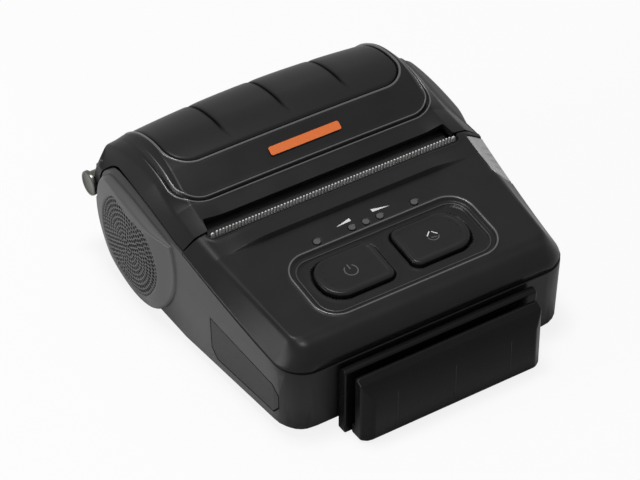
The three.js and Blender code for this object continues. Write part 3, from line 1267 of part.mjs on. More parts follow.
// Release button on the right: a rocker that is flush with the facet and the side wall and swings about its
// upper edge. Its stem turns the upright-pivoted lever against the platen's shaft.
function releaseButton() {
  const cap = cut(upperShape, upperForm(RELEASE_CAP)).intersect(releaseSpace(0));
  const stemHalf = RELEASE_STEM_HEIGHT / 2;
  const stem = block([leverX + LEVER_THICKNESS / 2 + GAP, CASE_HALF_WIDTH - RELEASE_CAP],
    [RELEASE_Y - stemHalf, RELEASE_Y + stemHalf], [RELEASE_Z - stemHalf, RELEASE_Z + stemHalf]);
  return cap.add(stem);
}

function releaseLever() {
  const bar = block([leverX - LEVER_THICKNESS / 2, leverX + LEVER_THICKNESS / 2],
    [RELEASE_Y - LEVER_TAIL / 2, PLATEN_Y - SHAFT_RADIUS - GAP],
    [leverBottomZ, leverBottomZ + LEVER_HEIGHT]);
  return bar.add(rodZ([leverX, leverPivotY], LEVER_PIN_RADIUS, leverBottomZ - LEVER_PIN_LENGTH, leverBottomZ,
    SMALL_ROUND_STEPS));
}

// Card reader: a rail on the case, a head block in front of it and the magnetic head in the slot.
const railFrontY = CASE_FRONT_Y - GAP - RAIL_THICKNESS;
const readerRearY = railFrontY - SWIPE_SLOT;

function cardReaderRail() {
  const outline = [
    [CASE_FRONT_Y - GAP, RAIL_BOTTOM_Z],
    [CASE_FRONT_Y - GAP, RAIL_TOP_Z - READER_EDGE],
    [CASE_FRONT_Y - GAP - READER_EDGE, RAIL_TOP_Z],
    [railFrontY + READER_EDGE / 2, RAIL_TOP_Z],
    [railFrontY, RAIL_TOP_Z - READER_EDGE / 2],
    [railFrontY, RAIL_BOTTOM_Z],
  ];
  return alongX(outline, -RAIL_HALF_WIDTH, RAIL_HALF_WIDTH);
}

function cardReaderHead() {
  const outline = [
    [readerRearY, RAIL_BOTTOM_Z],
    [readerRearY, READER_TOP_Z - READER_EDGE / 2],
    [readerRearY - READER_EDGE, READER_TOP_Z],
    [READER_FRONT_Y + READER_BEVEL_DEPTH, READER_TOP_Z - READER_EDGE],
    [READER_FRONT_Y, READER_TOP_Z - READER_BEVEL_HEIGHT],
    [READER_FRONT_Y, RAIL_BOTTOM_Z + READER_EDGE],
    [READER_FRONT_Y + READER_EDGE, RAIL_BOTTOM_Z],
  ];
  const plan = [
    [-READER_HALF_WIDTH, readerRearY + OVERRUN],
    [-READER_HALF_WIDTH, READER_FRONT_Y + READER_BEVEL_DEPTH],
    [-READER_HALF_WIDTH + READER_END_BEVEL, READER_FRONT_Y],
    [READER_HALF_WIDTH - READER_END_BEVEL, READER_FRONT_Y],
    [READER_HALF_WIDTH, READER_FRONT_Y + READER_BEVEL_DEPTH],
    [READER_HALF_WIDTH, readerRearY + OVERRUN],
  ];
  const ledge = block([-READER_HALF_WIDTH, READER_HALF_WIDTH], [readerRearY - READER_EDGE, railFrontY - GAP],
    [RAIL_BOTTOM_Z, RAIL_BOTTOM_Z + RAIL_LEDGE]);
  const body = alongX(outline, -READER_HALF_WIDTH, READER_HALF_WIDTH)
    .intersect(alongZ(plan, 0, PRINTER_HEIGHT));
  const pocketHalf = MAGNETIC_HEAD_LENGTH / 2 + GAP;
  const pocketDepth = MAGNETIC_HEAD_DEPTH - MAGNETIC_HEAD_PROUD + MAGNETIC_HEAD_TRAVEL + GAP;
  const pocket = block([-pocketHalf, pocketHalf], [readerRearY - pocketDepth, readerRearY + OVERRUN],
    [MAGNETIC_HEAD_Z - MAGNETIC_HEAD_HEIGHT / 2 - GAP, MAGNETIC_HEAD_Z + MAGNETIC_HEAD_HEIGHT / 2 + GAP]);
  return body.add(ledge).subtract(pocket);
}

function magneticHead() {
  const half = MAGNETIC_HEAD_LENGTH / 2;
  const front = readerRearY - MAGNETIC_HEAD_DEPTH + MAGNETIC_HEAD_PROUD;
  const tip = readerRearY + MAGNETIC_HEAD_PROUD;
  const outline = [
    [-half, front],
    [half, front],
    [half, readerRearY],
    [half / 2, tip],
    [-half / 2, tip],
    [-half, readerRearY],
  ];
  const halfHeight = MAGNETIC_HEAD_HEIGHT / 2;
  return alongZ(outline, MAGNETIC_HEAD_Z - halfHeight, MAGNETIC_HEAD_Z + halfHeight);
}

// Battery, its latch, the main board, feet and screws.
const battery = () => alongZ(shifted(roundedRectangle(BATTERY_HALF_WIDTH, BATTERY_LENGTH / 2, WALL), 0,
  (BATTERY_FRONT_Y + BATTERY_REAR_Y) / 2), BATTERY_BOTTOM_Z, BATTERY_TOP_Z);
const batteryLatch = () => block([-LATCH_WIDTH / 2, LATCH_WIDTH / 2],
  [BATTERY_REAR_Y + 2 * GAP, BATTERY_REAR_Y + 2 * GAP + LATCH_LENGTH], [FLOOR_Z, FLOOR_Z + LATCH_THICKNESS]);
const mainBoard = () => block([-MAIN_BOARD_HALF_WIDTH, MAIN_BOARD_HALF_WIDTH],
  [BATTERY_FRONT_Y, BATTERY_REAR_Y - MAIN_BOARD_REAR_MARGIN],
  [MAIN_BOARD_Z, MAIN_BOARD_Z + BOARD_THICKNESS]);
const foot = (place) => rodZ(place, FOOT_RADIUS, 0, FLOOR_Z + FOOT_SOCKET_DEPTH);

function screw(place) {
  const head = rodZ(place, SCREW_HEAD_RADIUS, FLOOR_Z, FLOOR_Z + SCREW_HEAD_HEIGHT, SMALL_ROUND_STEPS);
  const shank = rodZ(place, SCREW_SHANK_RADIUS, FLOOR_Z, FRAME_FLOOR_Z + PLATE_THICKNESS, SMALL_ROUND_STEPS);
  return head.add(shank);
}

addPiece('lower_case', lowerCase(), FINISH.charcoal);
addPiece('upper_case', upperCase(), FINISH.blackSatin);
addPiece('left_side_cover', sideCover(LEFT), FINISH.charcoal);
addPiece('right_side_cover', sideCover(RIGHT), FINISH.charcoal);
addPiece('card_reader_rail', cardReaderRail(), FINISH.charcoal);
addPiece('card_reader_head', cardReaderHead(), FINISH.charcoal);
addPiece('magnetic_head', magneticHead(), FINISH.steel);
addPiece('tear_bar', tearBar(), FINISH.steel);
addPiece('print_head', printHead(), FINISH.ceramic);
addPiece('head_plate', headPlate(), FINISH.aluminium);
addPiece('head_frame', headFrame(), FINISH.steel);
addPiece('head_spring_left', coilSpring(-SPRING_SPREAD, webRearY + GAP, PLATEN_Z), FINISH.steel);
addPiece('head_spring_right', coilSpring(SPRING_SPREAD, webRearY + GAP, PLATEN_Z), FINISH.steel);
addPiece('stepper_motor', stepperMotor(), FINISH.steel);
addPiece('motor_pinion', motorPinion(), FINISH.whiteNylon);
addPiece('idler_gear', gear(idlerCentre, IDLER_TEETH, idlerPhase, GEAR_BORE_RADIUS), FINISH.whiteNylon);
const platenBore = SHAFT_RADIUS + GAP / 2;
addPiece('platen_gear', gear(platenCentre, PLATEN_TEETH, platenPhase, platenBore), FINISH.whiteNylon);
addPiece('platen_shaft', platenShaft(), FINISH.steel);
addPiece('platen_roller', platenRoller(), FINISH.rubber);
addPiece('platen_bush_left', platenBush(LEFT), FINISH.whiteNylon);
addPiece('platen_bush_right', platenBush(RIGHT), FINISH.whiteNylon);
addPiece('paper_bay', paperBay(), FINISH.blackSatin);
addPiece('paper_sensor', paperSensor(), FINISH.blackSatin);
addPiece('strap_stud_left', strapStud(LEFT), FINISH.steel);
addPiece('strap_stud_right', strapStud(RIGHT), FINISH.steel);
addPiece('lid_shell', lidShell(), FINISH.blackSatin);
addPiece('lid_pad', lidPad(), FINISH.blackGloss);
addPiece('name_plate', namePlate(), FINISH.blackGloss);
addPiece('lid_frame', lidFrame(), FINISH.blackSatin);
addPiece('power_key', key(LEFT), FINISH.keyBlack);
addPiece('feed_key', key(RIGHT), FINISH.keyBlack);
addPiece('key_mat', keyMat(), FINISH.rubber);
addPiece('control_board', controlBoard(), FINISH.board);
for (const [name, x] of Object.entries(lightPlaces)) addPiece(name, light(x), FINISH.lens);
addPiece('port_cover', portCover(), FINISH.charcoal);
addPiece('io_board', ioBoard(), FINISH.board);
addPiece('usb_socket', boxSocket(usbY, USB_LENGTH, USB_HEIGHT), FINISH.steel);
addPiece('serial_socket', boxSocket(serialY, SERIAL_LENGTH, SERIAL_HEIGHT), FINISH.blackSatin);
addPiece('power_jack', powerJack(), FINISH.blackSatin);
addPiece('release_button', releaseButton(), FINISH.silverPlastic);
addPiece('release_lever', releaseLever(), FINISH.steel);
addPiece('battery', battery(), FINISH.batteryWrap);
addPiece('battery_latch', batteryLatch(), FINISH.charcoal);
addPiece('main_board', mainBoard(), FINISH.board);
footPlaces.forEach((place, i) => addPiece(`foot_${i + 1}`, foot(place), FINISH.rubber));
screwPlaces.forEach((place, i) => addPiece(`case_screw_${i + 1}`, screw(place), FINISH.steel));

export default printer;
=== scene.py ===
import json
import logging
import math
from dataclasses import dataclass
from enum import Enum
from functools import cache, partial

import bmesh
import bpy
import numpy as np
from mathutils import Matrix, Vector


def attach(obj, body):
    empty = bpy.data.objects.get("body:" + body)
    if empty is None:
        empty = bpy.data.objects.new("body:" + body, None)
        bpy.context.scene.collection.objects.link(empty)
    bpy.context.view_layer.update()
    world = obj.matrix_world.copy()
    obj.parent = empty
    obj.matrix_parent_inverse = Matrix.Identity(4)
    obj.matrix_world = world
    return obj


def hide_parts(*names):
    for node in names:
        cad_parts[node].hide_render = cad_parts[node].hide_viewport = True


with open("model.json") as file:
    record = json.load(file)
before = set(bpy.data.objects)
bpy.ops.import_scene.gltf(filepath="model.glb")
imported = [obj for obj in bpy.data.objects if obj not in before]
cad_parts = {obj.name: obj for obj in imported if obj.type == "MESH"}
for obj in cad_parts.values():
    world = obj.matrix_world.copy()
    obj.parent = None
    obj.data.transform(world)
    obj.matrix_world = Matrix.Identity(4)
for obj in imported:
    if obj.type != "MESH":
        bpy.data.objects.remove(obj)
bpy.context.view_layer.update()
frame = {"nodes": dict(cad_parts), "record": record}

# Portable receipt printer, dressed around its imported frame. Sizes here are in millimetres, angles in
# degrees. Meshes are turned into metres by MM when they are made.
MM = 0.001
log = logging.getLogger("printer")


class Side(Enum):
    """Left or right side of the printer, as the sign of X."""

    LEFT = -1
    RIGHT = 1


# Shader maths.


class Value:
    """A number socket of a shader tree, with operators that add Math nodes."""

    def __init__(self, tree: bpy.types.NodeTree, socket: bpy.types.NodeSocket) -> None:
        """Wraps an output socket of the tree."""
        self.tree = tree
        self.socket = socket

    def _math(self, operation: str, first: object, second: object) -> "Value":
        """Adds a Math node.

        Args:
            operation: the node's operation.
            first: a Value or a number.
            second: a Value or a number.

        Returns:
            The node's result.
        """
        node = self.tree.nodes.new("ShaderNodeMath")
        node.operation = operation
        for socket, item in zip(node.inputs, (first, second)):
            if isinstance(item, Value):
                self.tree.links.new(item.socket, socket)
            else:
                socket.default_value = item
        return Value(self.tree, node.outputs[0])

    def __add__(self, other: object) -> "Value":
        """self + other."""
        return self._math("ADD", self, other)

    __radd__ = __add__

    def __mul__(self, other: object) -> "Value":
        """self * other."""
        return self._math("MULTIPLY", self, other)

    __rmul__ = __mul__

    def __sub__(self, other: object) -> "Value":
        """self - other."""
        return self._math("SUBTRACT", self, other)

    def __rsub__(self, other: object) -> "Value":
        """other - self."""
        return self._math("SUBTRACT", other, self)


class Recipe:
    """The node tree of one material, with a Principled shader at its end."""

    def __init__(self, name: str) -> None:
        """Starts an empty material.

        Args:
            name: the material's name.
        """
        self.material = bpy.data.materials.new(name)
        self.material.use_nodes = True
        self.tree = self.material.node_tree
        self.tree.nodes.clear()
        self.output = self.tree.nodes.new("ShaderNodeOutputMaterial")
        self.shader = self.tree.nodes.new("ShaderNodeBsdfPrincipled")
        self.tree.links.new(self.shader.outputs[0], self.output.inputs[0])
        self.place = self.node("ShaderNodeTexCoord", output="Object")

    def node(self, kind: str, settings: dict | None = None, output: str | int = 0, **inputs: object) -> Value:
        """Adds a node of any type.

        Args:
            kind: the node's type.
            settings: its settings, and "stops" for a ramp's stops; they are set first.
            output: the name or number of the wanted output.
            inputs: values or links for its sockets; an underscore in a name stands for a space.

        Returns:
            The wanted output.
        """
        node = self.tree.nodes.new(kind)
        for key, value in (settings or {}).items():
            if key == "stops":
                for element, (position, grey) in zip(node.color_ramp.elements, value):
                    element.position = position
                    element.color = (grey, grey, grey, 1)
            else:
                setattr(node, key, value)
        for key, value in inputs.items():
            self.feed(node, key.replace("_", " "), value)
        return Value(self.tree, node.outputs[output])

    def feed(self, node: bpy.types.Node, socket: str, value: object) -> None:
        """Links or sets one socket of a node.

        Args:
            node: the node.
            socket: the socket's name, or its number as text.
            value: a Value, a number, or a colour.
        """
        target = node.inputs[int(socket)] if socket.isdigit() else node.inputs[socket]
        if isinstance(value, Value):
            self.tree.links.new(value.socket, target)
        else:
            target.default_value = value

    def noise(self, grain: float, detail: float = 2.0, stretch: tuple = (1, 1, 1)) -> Value:
        """Noise on Object coordinates.

        Args:
            grain: size of a grain in millimetres.
            detail: octaves of finer noise.
            stretch: scale of the pattern along X, Y and Z.

        Returns:
            Noise from 0 to 1.
        """
        placed = self.node("ShaderNodeMapping", Vector=self.place, Scale=stretch)
        return self.node("ShaderNodeTexNoise", Vector=placed, Scale=1 / (grain * MM), Detail=detail)

    def mix(self, factor: object, first: object, second: object) -> Value:
        """Mixes two colours.

        Args:
            factor: 0 for the first, 1 for the second.
            first: a colour or a link.
            second: a colour or a link.

        Returns:
            The mixed colour.
        """
        node = self.tree.nodes.new("ShaderNodeMix")
        node.data_type = "RGBA"
        self.feed(node, "0", factor)
        self.feed(node, "6", first)
        self.feed(node, "7", second)
        return Value(self.tree, node.outputs[2])

    def bump(self, height: Value, depth: float) -> Value:
        """Turns a height from 0 to 1 into the bent normal of a relief of depth millimetres."""
        return self.node("ShaderNodeBump", Height=height, Distance=depth * MM)

    def shaded(self, cloud: Value, colour: tuple, low: float, high: float = 1.0) -> Value:
        """Mixes the colour times low, where cloud is 0, with the colour times high, where it is 1."""
        return self.mix(cloud, scaled(colour, low), scaled(colour, high))

    def cover(self, factor: Value, kind: str, colour: tuple) -> None:
        """Mixes another shader over the Principled one.

        Args:
            factor: 0 for the Principled shader, 1 for the other.
            kind: the other shader's node type.
            colour: its colour with alpha.
        """
        other = self.tree.nodes.new(kind)
        other.inputs["Color"].default_value = colour
        blend = self.tree.nodes.new("ShaderNodeMixShader")
        self.feed(blend, "0", factor)
        for index, shader in enumerate((self.shader, other), 1):
            self.tree.links.new(shader.outputs[0], blend.inputs[index])
        self.tree.links.new(blend.outputs[0], self.output.inputs[0])

    def dress(self, **sockets: object) -> bpy.types.Material:
        """Feeds the Principled shader.

        Args:
            sockets: values or links by socket name, with an underscore for a space.

        Returns:
            The finished material.
        """
        for name, value in sockets.items():
            self.feed(self.shader, name.replace("_", " "), value)
        return self.material


def scaled(colour: tuple, factor: float = 1.0) -> tuple:
    """A colour made lighter or darker, with full alpha."""
    return (*(min(1.0, part * factor) for part in colour), 1.0)


# Finishes.


@dataclass(frozen=True)
class Finish:
    """A named colour that builds a material of its own."""

    name: str
    colour: tuple

    def build(self) -> bpy.types.Material:
        """Returns the material."""
        raise NotImplementedError


@dataclass(frozen=True)
class MouldedPlastic(Finish):
    """Moulded plastic: fine spark-eroded grain, cloudy gloss and slightly paler handled spots.

    With a front colour, it turns to that colour where Y in millimetres runs from painted_shade_from to
    painted_shade_to: painted shade on the front faces, which the lamps leave unlit.
    """

    roughness: float = 0.45
    grain: float = 0.35
    depth: float = 0.012
    specular: float = 0.4
    coat: float = 0.0
    front: tuple | None = None
    painted_shade_from: float = -35.0
    painted_shade_to: float = -43.0

    def build(self) -> bpy.types.Material:
        """Mixes two shades by a wide noise and bumps the surface by a fine one; a front colour paints shade
        towards the front.

        Returns:
            The material.
        """
        recipe = Recipe(self.name)
        grain = recipe.noise(self.grain, 3)
        cloud = recipe.noise(9.0, 2)
        colour = recipe.shaded(cloud, self.colour, 0.88, 1.14)
        # Painted shade: the colour turns darker towards the front, where the front faces lie in shade.
        if self.front:
            along = recipe.node("ShaderNodeSeparateXYZ", output="Y", Vector=recipe.place)
            limits = {"From_Min": self.painted_shade_to * MM, "From_Max": self.painted_shade_from * MM}
            smooth = {"interpolation_type": "SMOOTHSTEP"}
            share = recipe.node("ShaderNodeMapRange", smooth, Value=along, **limits)
            colour = recipe.mix(share, scaled(self.front), colour)
        return recipe.dress(
            Base_Color=colour,
            Roughness=cloud * 0.14 + grain * 0.06 + (self.roughness - 0.1),
            Normal=recipe.bump(grain, self.depth),
            Specular_IOR_Level=self.specular,
            Coat_Weight=self.coat,
            Coat_Roughness=0.12,
        )


@dataclass(frozen=True)
class PiercedPlastic(Finish):
    """Moulded plastic with painted shade in its pits and creases: the attribute "pit" is 1 at the bottom of
    each hollow.
    """

    roughness: float = 0.5
    specular: float = 0.4

    def build(self) -> bpy.types.Material:
        """Paints shade into the pits: darkens and roughens the plastic by them, and turns them black at the
        bottom.

        Returns:
            The material.
        """
        recipe = Recipe(self.name)
        pit_and_shade = recipe.node("ShaderNodeAttribute", {"attribute_name": "pit_and_shade"}, output="Fac")
        grain = recipe.noise(0.35, 3)
        plain = recipe.shaded(recipe.noise(8.0), self.colour, 0.9, 1.12)
        # Painted shade: a black diffuse shader over the bottoms of the pits, and a darker colour in them.
        recipe.cover(pit_and_shade, "ShaderNodeBsdfDiffuse", (0.002, 0.002, 0.002, 1))
        return recipe.dress(
            Base_Color=recipe.mix(pit_and_shade, plain, scaled(self.colour, 0.03)),
            Roughness=grain * 0.1 + (self.roughness - 0.05) + pit_and_shade * 0.3,
            Normal=recipe.bump(grain, 0.008),
            Specular_IOR_Level=self.specular,
        )


@dataclass(frozen=True)
class Metal(Finish):
    """Plain metal with fine drawn lines along one axis."""

    roughness: float = 0.3
    stretch: tuple = (1, 12, 12)

    def build(self) -> bpy.types.Material:
        """Mixes two shades by a wide noise, and roughens and bumps the metal by its lines.

        Returns:
            The material.
        """
        recipe = Recipe(self.name)
        lines = recipe.noise(1.2, 4, self.stretch)
        return recipe.dress(
            Base_Color=recipe.shaded(recipe.noise(5.0), self.colour, 0.85, 1.05),
            Roughness=lines * 0.16 + (self.roughness - 0.08),
            Metallic=1.0,
            Normal=recipe.bump(lines, 0.004),
        )


@dataclass(frozen=True)
class Rubber(Finish):
    """Soft rubber: dull, with a fine ground skin."""

    roughness: float = 0.8

    def build(self) -> bpy.types.Material:
        """Mixes two shades by a wide noise, and roughens and bumps the rubber by its skin.

        Returns:
            The material.
        """
        recipe = Recipe(self.name)
        skin = recipe.noise(0.25, 4)
        return recipe.dress(
            Base_Color=recipe.shaded(recipe.noise(6.0), self.colour, 0.85, 1.2),
            Roughness=skin * 0.15 + (self.roughness - 0.08),
            Normal=recipe.bump(skin, 0.02),
            Specular_IOR_Level=0.3,
        )


class SolderMask(Finish):
    """Circuit board: green mask with paler copper tracks under it."""

    def build(self) -> bpy.types.Material:
        """Draws the tracks as the edges of square cells.

        Returns:
            The material.
        """
        recipe = Recipe(self.name)
        square = {"distance": "MANHATTAN"}
        cells = recipe.node(
            "ShaderNodeTexVoronoi", square, output="Distance", Vector=recipe.place, Scale=600.0
        )
        tracks = recipe.node("ShaderNodeValToRGB", {"stops": ((0.42, 0.0), (0.5, 1.0))}, Fac=cells)
        return recipe.dress(
            Base_Color=recipe.shaded(tracks, self.colour, 1.0, 1.7),
            Roughness=recipe.noise(3.0) * 0.15 + 0.3,
            Normal=recipe.bump(cells, 0.03),
        )


@dataclass(frozen=True)
class Speckled(Finish):
    """Thin even layer, such as a light's lens or printed ink, a little uneven in shade and gloss."""

    roughness: float = 0.5
    grain: float = 0.2
    low: float = 0.88
    high: float = 1.0

    def build(self) -> bpy.types.Material:
        """Mixes two shades and two degrees of gloss by one noise.

        Returns:
            The material.
        """
        recipe = Recipe(self.name)
        cloud = recipe.noise(self.grain)
        return recipe.dress(
            Base_Color=recipe.shaded(cloud, self.colour, self.low, self.high),
            Roughness=cloud * 0.1 + self.roughness,
        )


BLACK = (0.0085, 0.0083, 0.0088)
# Painted shade: the darker colour of the case's front faces, which the lamps leave unlit.
PAINTED_FRONT_SHADE = (0.007, 0.007, 0.007)

FINISHES = {
    finish.name: finish
    for finish in (
        # The charcoal case is painted darker towards its front, as painted shade.
        MouldedPlastic("charcoal_case", (0.050, 0.050, 0.051), 0.42, specular=0.2, front=PAINTED_FRONT_SHADE),
        MouldedPlastic("black_panel", BLACK, 0.34, 0.3, 0.010, 0.17),
        MouldedPlastic("black_lid", BLACK, 0.36, 0.3, 0.010, 0.17),
        MouldedPlastic("black_gloss", (0.006, 0.006, 0.006), 0.3, 0.3, 0.004, 0.2),
        # The pad's finish paints shade into its creases.
        PiercedPlastic("pad_plastic", BLACK, 0.4, 0.17),
        MouldedPlastic("black_reader", (0.0035, 0.0035, 0.0035), 0.27, 0.3, 0.004, 0.12),
        MouldedPlastic("black_inner", (0.008, 0.008, 0.008), 0.55, specular=0.2),
        MouldedPlastic("key_plastic", (0.0085, 0.0083, 0.009), 0.3, 0.3, 0.008, 0.2),
        MouldedPlastic("silver_plastic", (0.34, 0.34, 0.34), 0.38, 0.25, 0.006, 0.35),
        Metal("steel", (0.60, 0.60, 0.58), 0.28),
        Metal("dark_steel", (0.12, 0.12, 0.11), 0.24),
        Metal("aluminium", (0.72, 0.73, 0.74), 0.38),
        MouldedPlastic("ceramic", (0.78, 0.74, 0.66), 0.3),
        MouldedPlastic("white_nylon", (0.70, 0.69, 0.64), 0.45),
        Rubber("platen_rubber", (0.02, 0.02, 0.02)),
        Rubber("grey_rubber", (0.025, 0.025, 0.025)),
        MouldedPlastic("cover_rubber", (0.006, 0.006, 0.006), 0.28, specular=0.2),
        SolderMask("circuit_board", (0.01, 0.09, 0.035)),
        Speckled("light_lens", (0.07, 0.07, 0.07), 0.18, 0.8, 0.8, 1.15),
        MouldedPlastic("battery_case", (0.012, 0.012, 0.013), 0.5, specular=0.25),
        # The grille's finish paints shade into its pits.
        PiercedPlastic("grille", (0.052, 0.052, 0.053), 0.42, 0.45),
        Speckled("ink", (0.75, 0.75, 0.75)),
        Speckled("faint_ink", (0.07, 0.07, 0.072)),
        Speckled("orange", (0.78, 0.16, 0.02)),
        MouldedPlastic("plated_teeth", (0.70, 0.70, 0.69), 0.3, 0.3, 0.001, 0.8),
        # The lips are raised beads of the same black plastic, painted paler and glossier as painted
        # highlights along the edges.
        MouldedPlastic("soft_lip_highlight", (0.016, 0.016, 0.0165), 0.35, 0.6, 0.0004, 0.5),
        MouldedPlastic("lip", (0.035, 0.035, 0.036), 0.36, 0.6, 0.0004, 0.9, 0.5),
    )
}


@cache
def paint(name: str) -> bpy.types.Material:
    """The material of one finish, built when it is first asked for."""
    return FINISHES[name].build()


# Numbers and outlines.


def smooth_step(value: np.ndarray | float) -> np.ndarray:
    """3t^2 - 2t^3 with t clipped to 0..1, so that it rises from 0 to 1 with flat ends."""
    share = np.clip(value, 0.0, 1.0)
    return share * share * (3 - 2 * share)


def hump(distance: np.ndarray, width: float) -> np.ndarray:
    """A bell of height 1: exp(-(distance / width)^2)."""
    return np.exp(-((distance / width) ** 2))


def smooth_least(first: np.ndarray, second: np.ndarray, width: np.ndarray | float) -> np.ndarray:
    """The smaller of two heights, rounded: min(a, b) - h^2 w / 4 with h = max(w - |a - b|, 0) / w."""
    share = np.maximum(width - np.abs(first - second), 0) / width
    return np.minimum(first, second) - share * share * width / 4


def circle(count: int) -> np.ndarray:
    """Angles of a full turn in even steps, in radians, without the last one."""
    return np.linspace(0, 2 * np.pi, count + 1)[:-1]


def spaced(low: float, high: float, marks: tuple, fine: float, coarse: float, spread: float) -> np.ndarray:
    """Places from low to high, closer together near marks: equal steps of a summed density with humps.

    Args:
        low: first place.
        high: last place.
        marks: where the places lie closest.
        fine: spacing at a mark.
        coarse: spacing far from the marks.
        spread: half width of a hump.

    Returns:
        The places in order.
    """
    probe = np.linspace(low, high, 4000)
    nearness = hump(probe[:, None] - np.array(marks)[None], spread).max(1)
    density = 1 / coarse + (1 / fine - 1 / coarse) * nearness
    summed = np.concatenate([[0.0], np.cumsum((density[1:] + density[:-1]) / 2 * np.diff(probe))])
    return np.interp(np.linspace(0, summed[-1], int(summed[-1]) + 2), summed, probe)


def grid_faces(rows: int, columns: int, closed: bool = False) -> np.ndarray:
    """Quads of a grid of points in row order.

    Args:
        rows: number of rows.
        columns: number of points in a row.
        closed: True if a row's last point joins its first.

    Returns:
        An array of four corners for each face.
    """
    row = np.arange(rows - 1)[:, None] * columns
    column = np.arange(columns if closed else columns - 1)[None, :]
    after = (column + 1) % columns
    corners = (row + column, row + after, row + after + columns, row + column + columns)
    return np.stack([corner.ravel() for corner in np.broadcast_arrays(*corners)], axis=1)


def soften(points: np.ndarray, axis: int, low: int, high: int, passes: int) -> np.ndarray:
    """Rounds a corner of a grid: each point in a band takes a quarter of each neighbour and half of itself.

    Args:
        points: the grid, (rows, columns, 3).
        axis: 0 along the rows' order, 1 along a row.
        low: first line of the band.
        high: line after the band.
        passes: how often.

    Returns:
        The rounded grid.
    """
    points = np.moveaxis(points.copy(), axis, 0)
    for _ in range(passes):
        inner = points[low - 1:high - 1] + 2 * points[low:high] + points[low + 1:high + 1]
        points[low:high] = inner / 4
    return np.moveaxis(points, 0, axis)


def rounded_distance(
    u: np.ndarray, v: np.ndarray, half_u: float, half_v: float, radius: float | np.ndarray
) -> np.ndarray:
    """Signed distance to a rounded rectangle about zero: |q+| + min(max(q), 0) - r with q = |p| - h + r.

    Args:
        u: first coordinate.
        v: second coordinate.
        half_u: half length along u.
        half_v: half length along v.
        radius: corner radius, a number or an array.

    Returns:
        Distance, negative inside.
    """
    across = np.abs(u) - half_u + radius
    along = np.abs(v) - half_v + radius
    outside = np.hypot(np.maximum(across, 0), np.maximum(along, 0))
    return outside + np.minimum(np.maximum(across, along), 0) - radius


def rounded_outline(half_u: float, half_v: float, right: float, left: float, steps: int) -> np.ndarray:
    """Points of a rectangle with round corners, anticlockwise from its right side.

    Args:
        half_u: half length.
        half_v: half width.
        right: radius of the two right corners.
        left: radius of the two left corners.
        steps: points on each corner, less one.

    Returns:
        An array of (u, v).
    """
    corners = []
    places = ((0, 1, 1, right), (90, -1, 1, left), (180, -1, -1, left), (270, 1, -1, right))
    for start, sign_u, sign_v, radius in places:
        angle = np.radians(start + np.linspace(0, 90, steps + 1))
        u = sign_u * (half_u - radius) + radius * np.cos(angle)
        v = sign_v * (half_v - radius) + radius * np.sin(angle)
        corners.append(np.stack([u, v], 1))
    return np.concatenate(corners)


def dense(outline: np.ndarray, step: float) -> np.ndarray:
    """Adds points to a closed outline.

    Args:
        outline: its points.
        step: greatest distance between two points.

    Returns:
        The points with the new ones between them.
    """
    pieces = []
    for start, end in zip(outline, np.roll(outline, -1, 0)):
        count = max(1, int(np.ceil(np.linalg.norm(end - start) / step)))
        pieces.append(start + (end - start) * np.arange(count)[:, None] / count)
    return np.concatenate(pieces)


def arc_band(centre: tuple, radius: float, width: float, start: float, end: float) -> np.ndarray:
    """Outline of a curved stroke: the outer arc forwards, then the inner arc back.

    Args:
        centre: the arc's middle (u, v).
        radius: radius of its middle line.
        width: the stroke's width.
        start: first angle in degrees.
        end: last angle in degrees.

    Returns:
        An array of (u, v).
    """
    angle = np.radians(np.linspace(start, end, 25))
    ray = np.stack([np.cos(angle), np.sin(angle)], 1)
    return np.concatenate([ray * (radius + width / 2), ray[::-1] * (radius - width / 2)]) + np.array(centre)


def stroke(start: tuple, end: tuple, width: float) -> np.ndarray:
    """Outline of a straight stroke.

    Args:
        start: first end (u, v).
        end: last end.
        width: the stroke's width.

    Returns:
        Its four corners.
    """
    first, last = np.array(start), np.array(end)
    along = (last - first) / np.linalg.norm(last - first)
    side = np.array([-along[1], along[0]]) * width / 2
    return np.array([first - side, last - side, last + side, first + side])


def bead_profile(right: tuple, top: float, left_foot: tuple | None = None) -> np.ndarray:
    """Section of a raised line: its right side from the foot up, its top, and the same mirrored.

    Args:
        right: points (a, b) of the right side.
        top: height of the top.
        left_foot: the left foot, where it differs from the right one's mirror image.

    Returns:
        An array of (a, b).
    """
    left = [(-a, b) for a, b in right[::-1]]
    if left_foot:
        left[-1] = left_foot
    return np.array([*right, (0.0, top), *left])


# Meshes from arrays.


def new_object(name: str, points: np.ndarray, faces: list | np.ndarray) -> bpy.types.Object:
    """Makes a mesh object.

    Args:
        name: the object's name.
        points: corners in millimetres, (..., 3).
        faces: corner numbers of each face.

    Returns:
        The object, linked to the scene.
    """
    mesh = bpy.data.meshes.new(name)
    corners = np.asarray(points, float).reshape(-1, 3) * MM
    mesh.from_pydata(corners.tolist(), [], [list(map(int, face)) for face in faces])
    mesh.update()
    piece = bpy.data.objects.new(name, mesh)
    bpy.context.scene.collection.objects.link(piece)
    return piece


def read_points(piece: bpy.types.Object) -> np.ndarray:
    """Reads a mesh's points.

    Args:
        piece: the object.

    Returns:
        Its points in millimetres, (n, 3).
    """
    points = np.empty(len(piece.data.vertices) * 3, np.float32)
    piece.data.vertices.foreach_get("co", points)
    return points.reshape(-1, 3).astype(float) / MM


def write_points(piece: bpy.types.Object, points: np.ndarray) -> None:
    """Puts a mesh's points, in millimetres, back."""
    piece.data.vertices.foreach_set("co", (points * MM).astype(np.float32).ravel())
    piece.data.update()


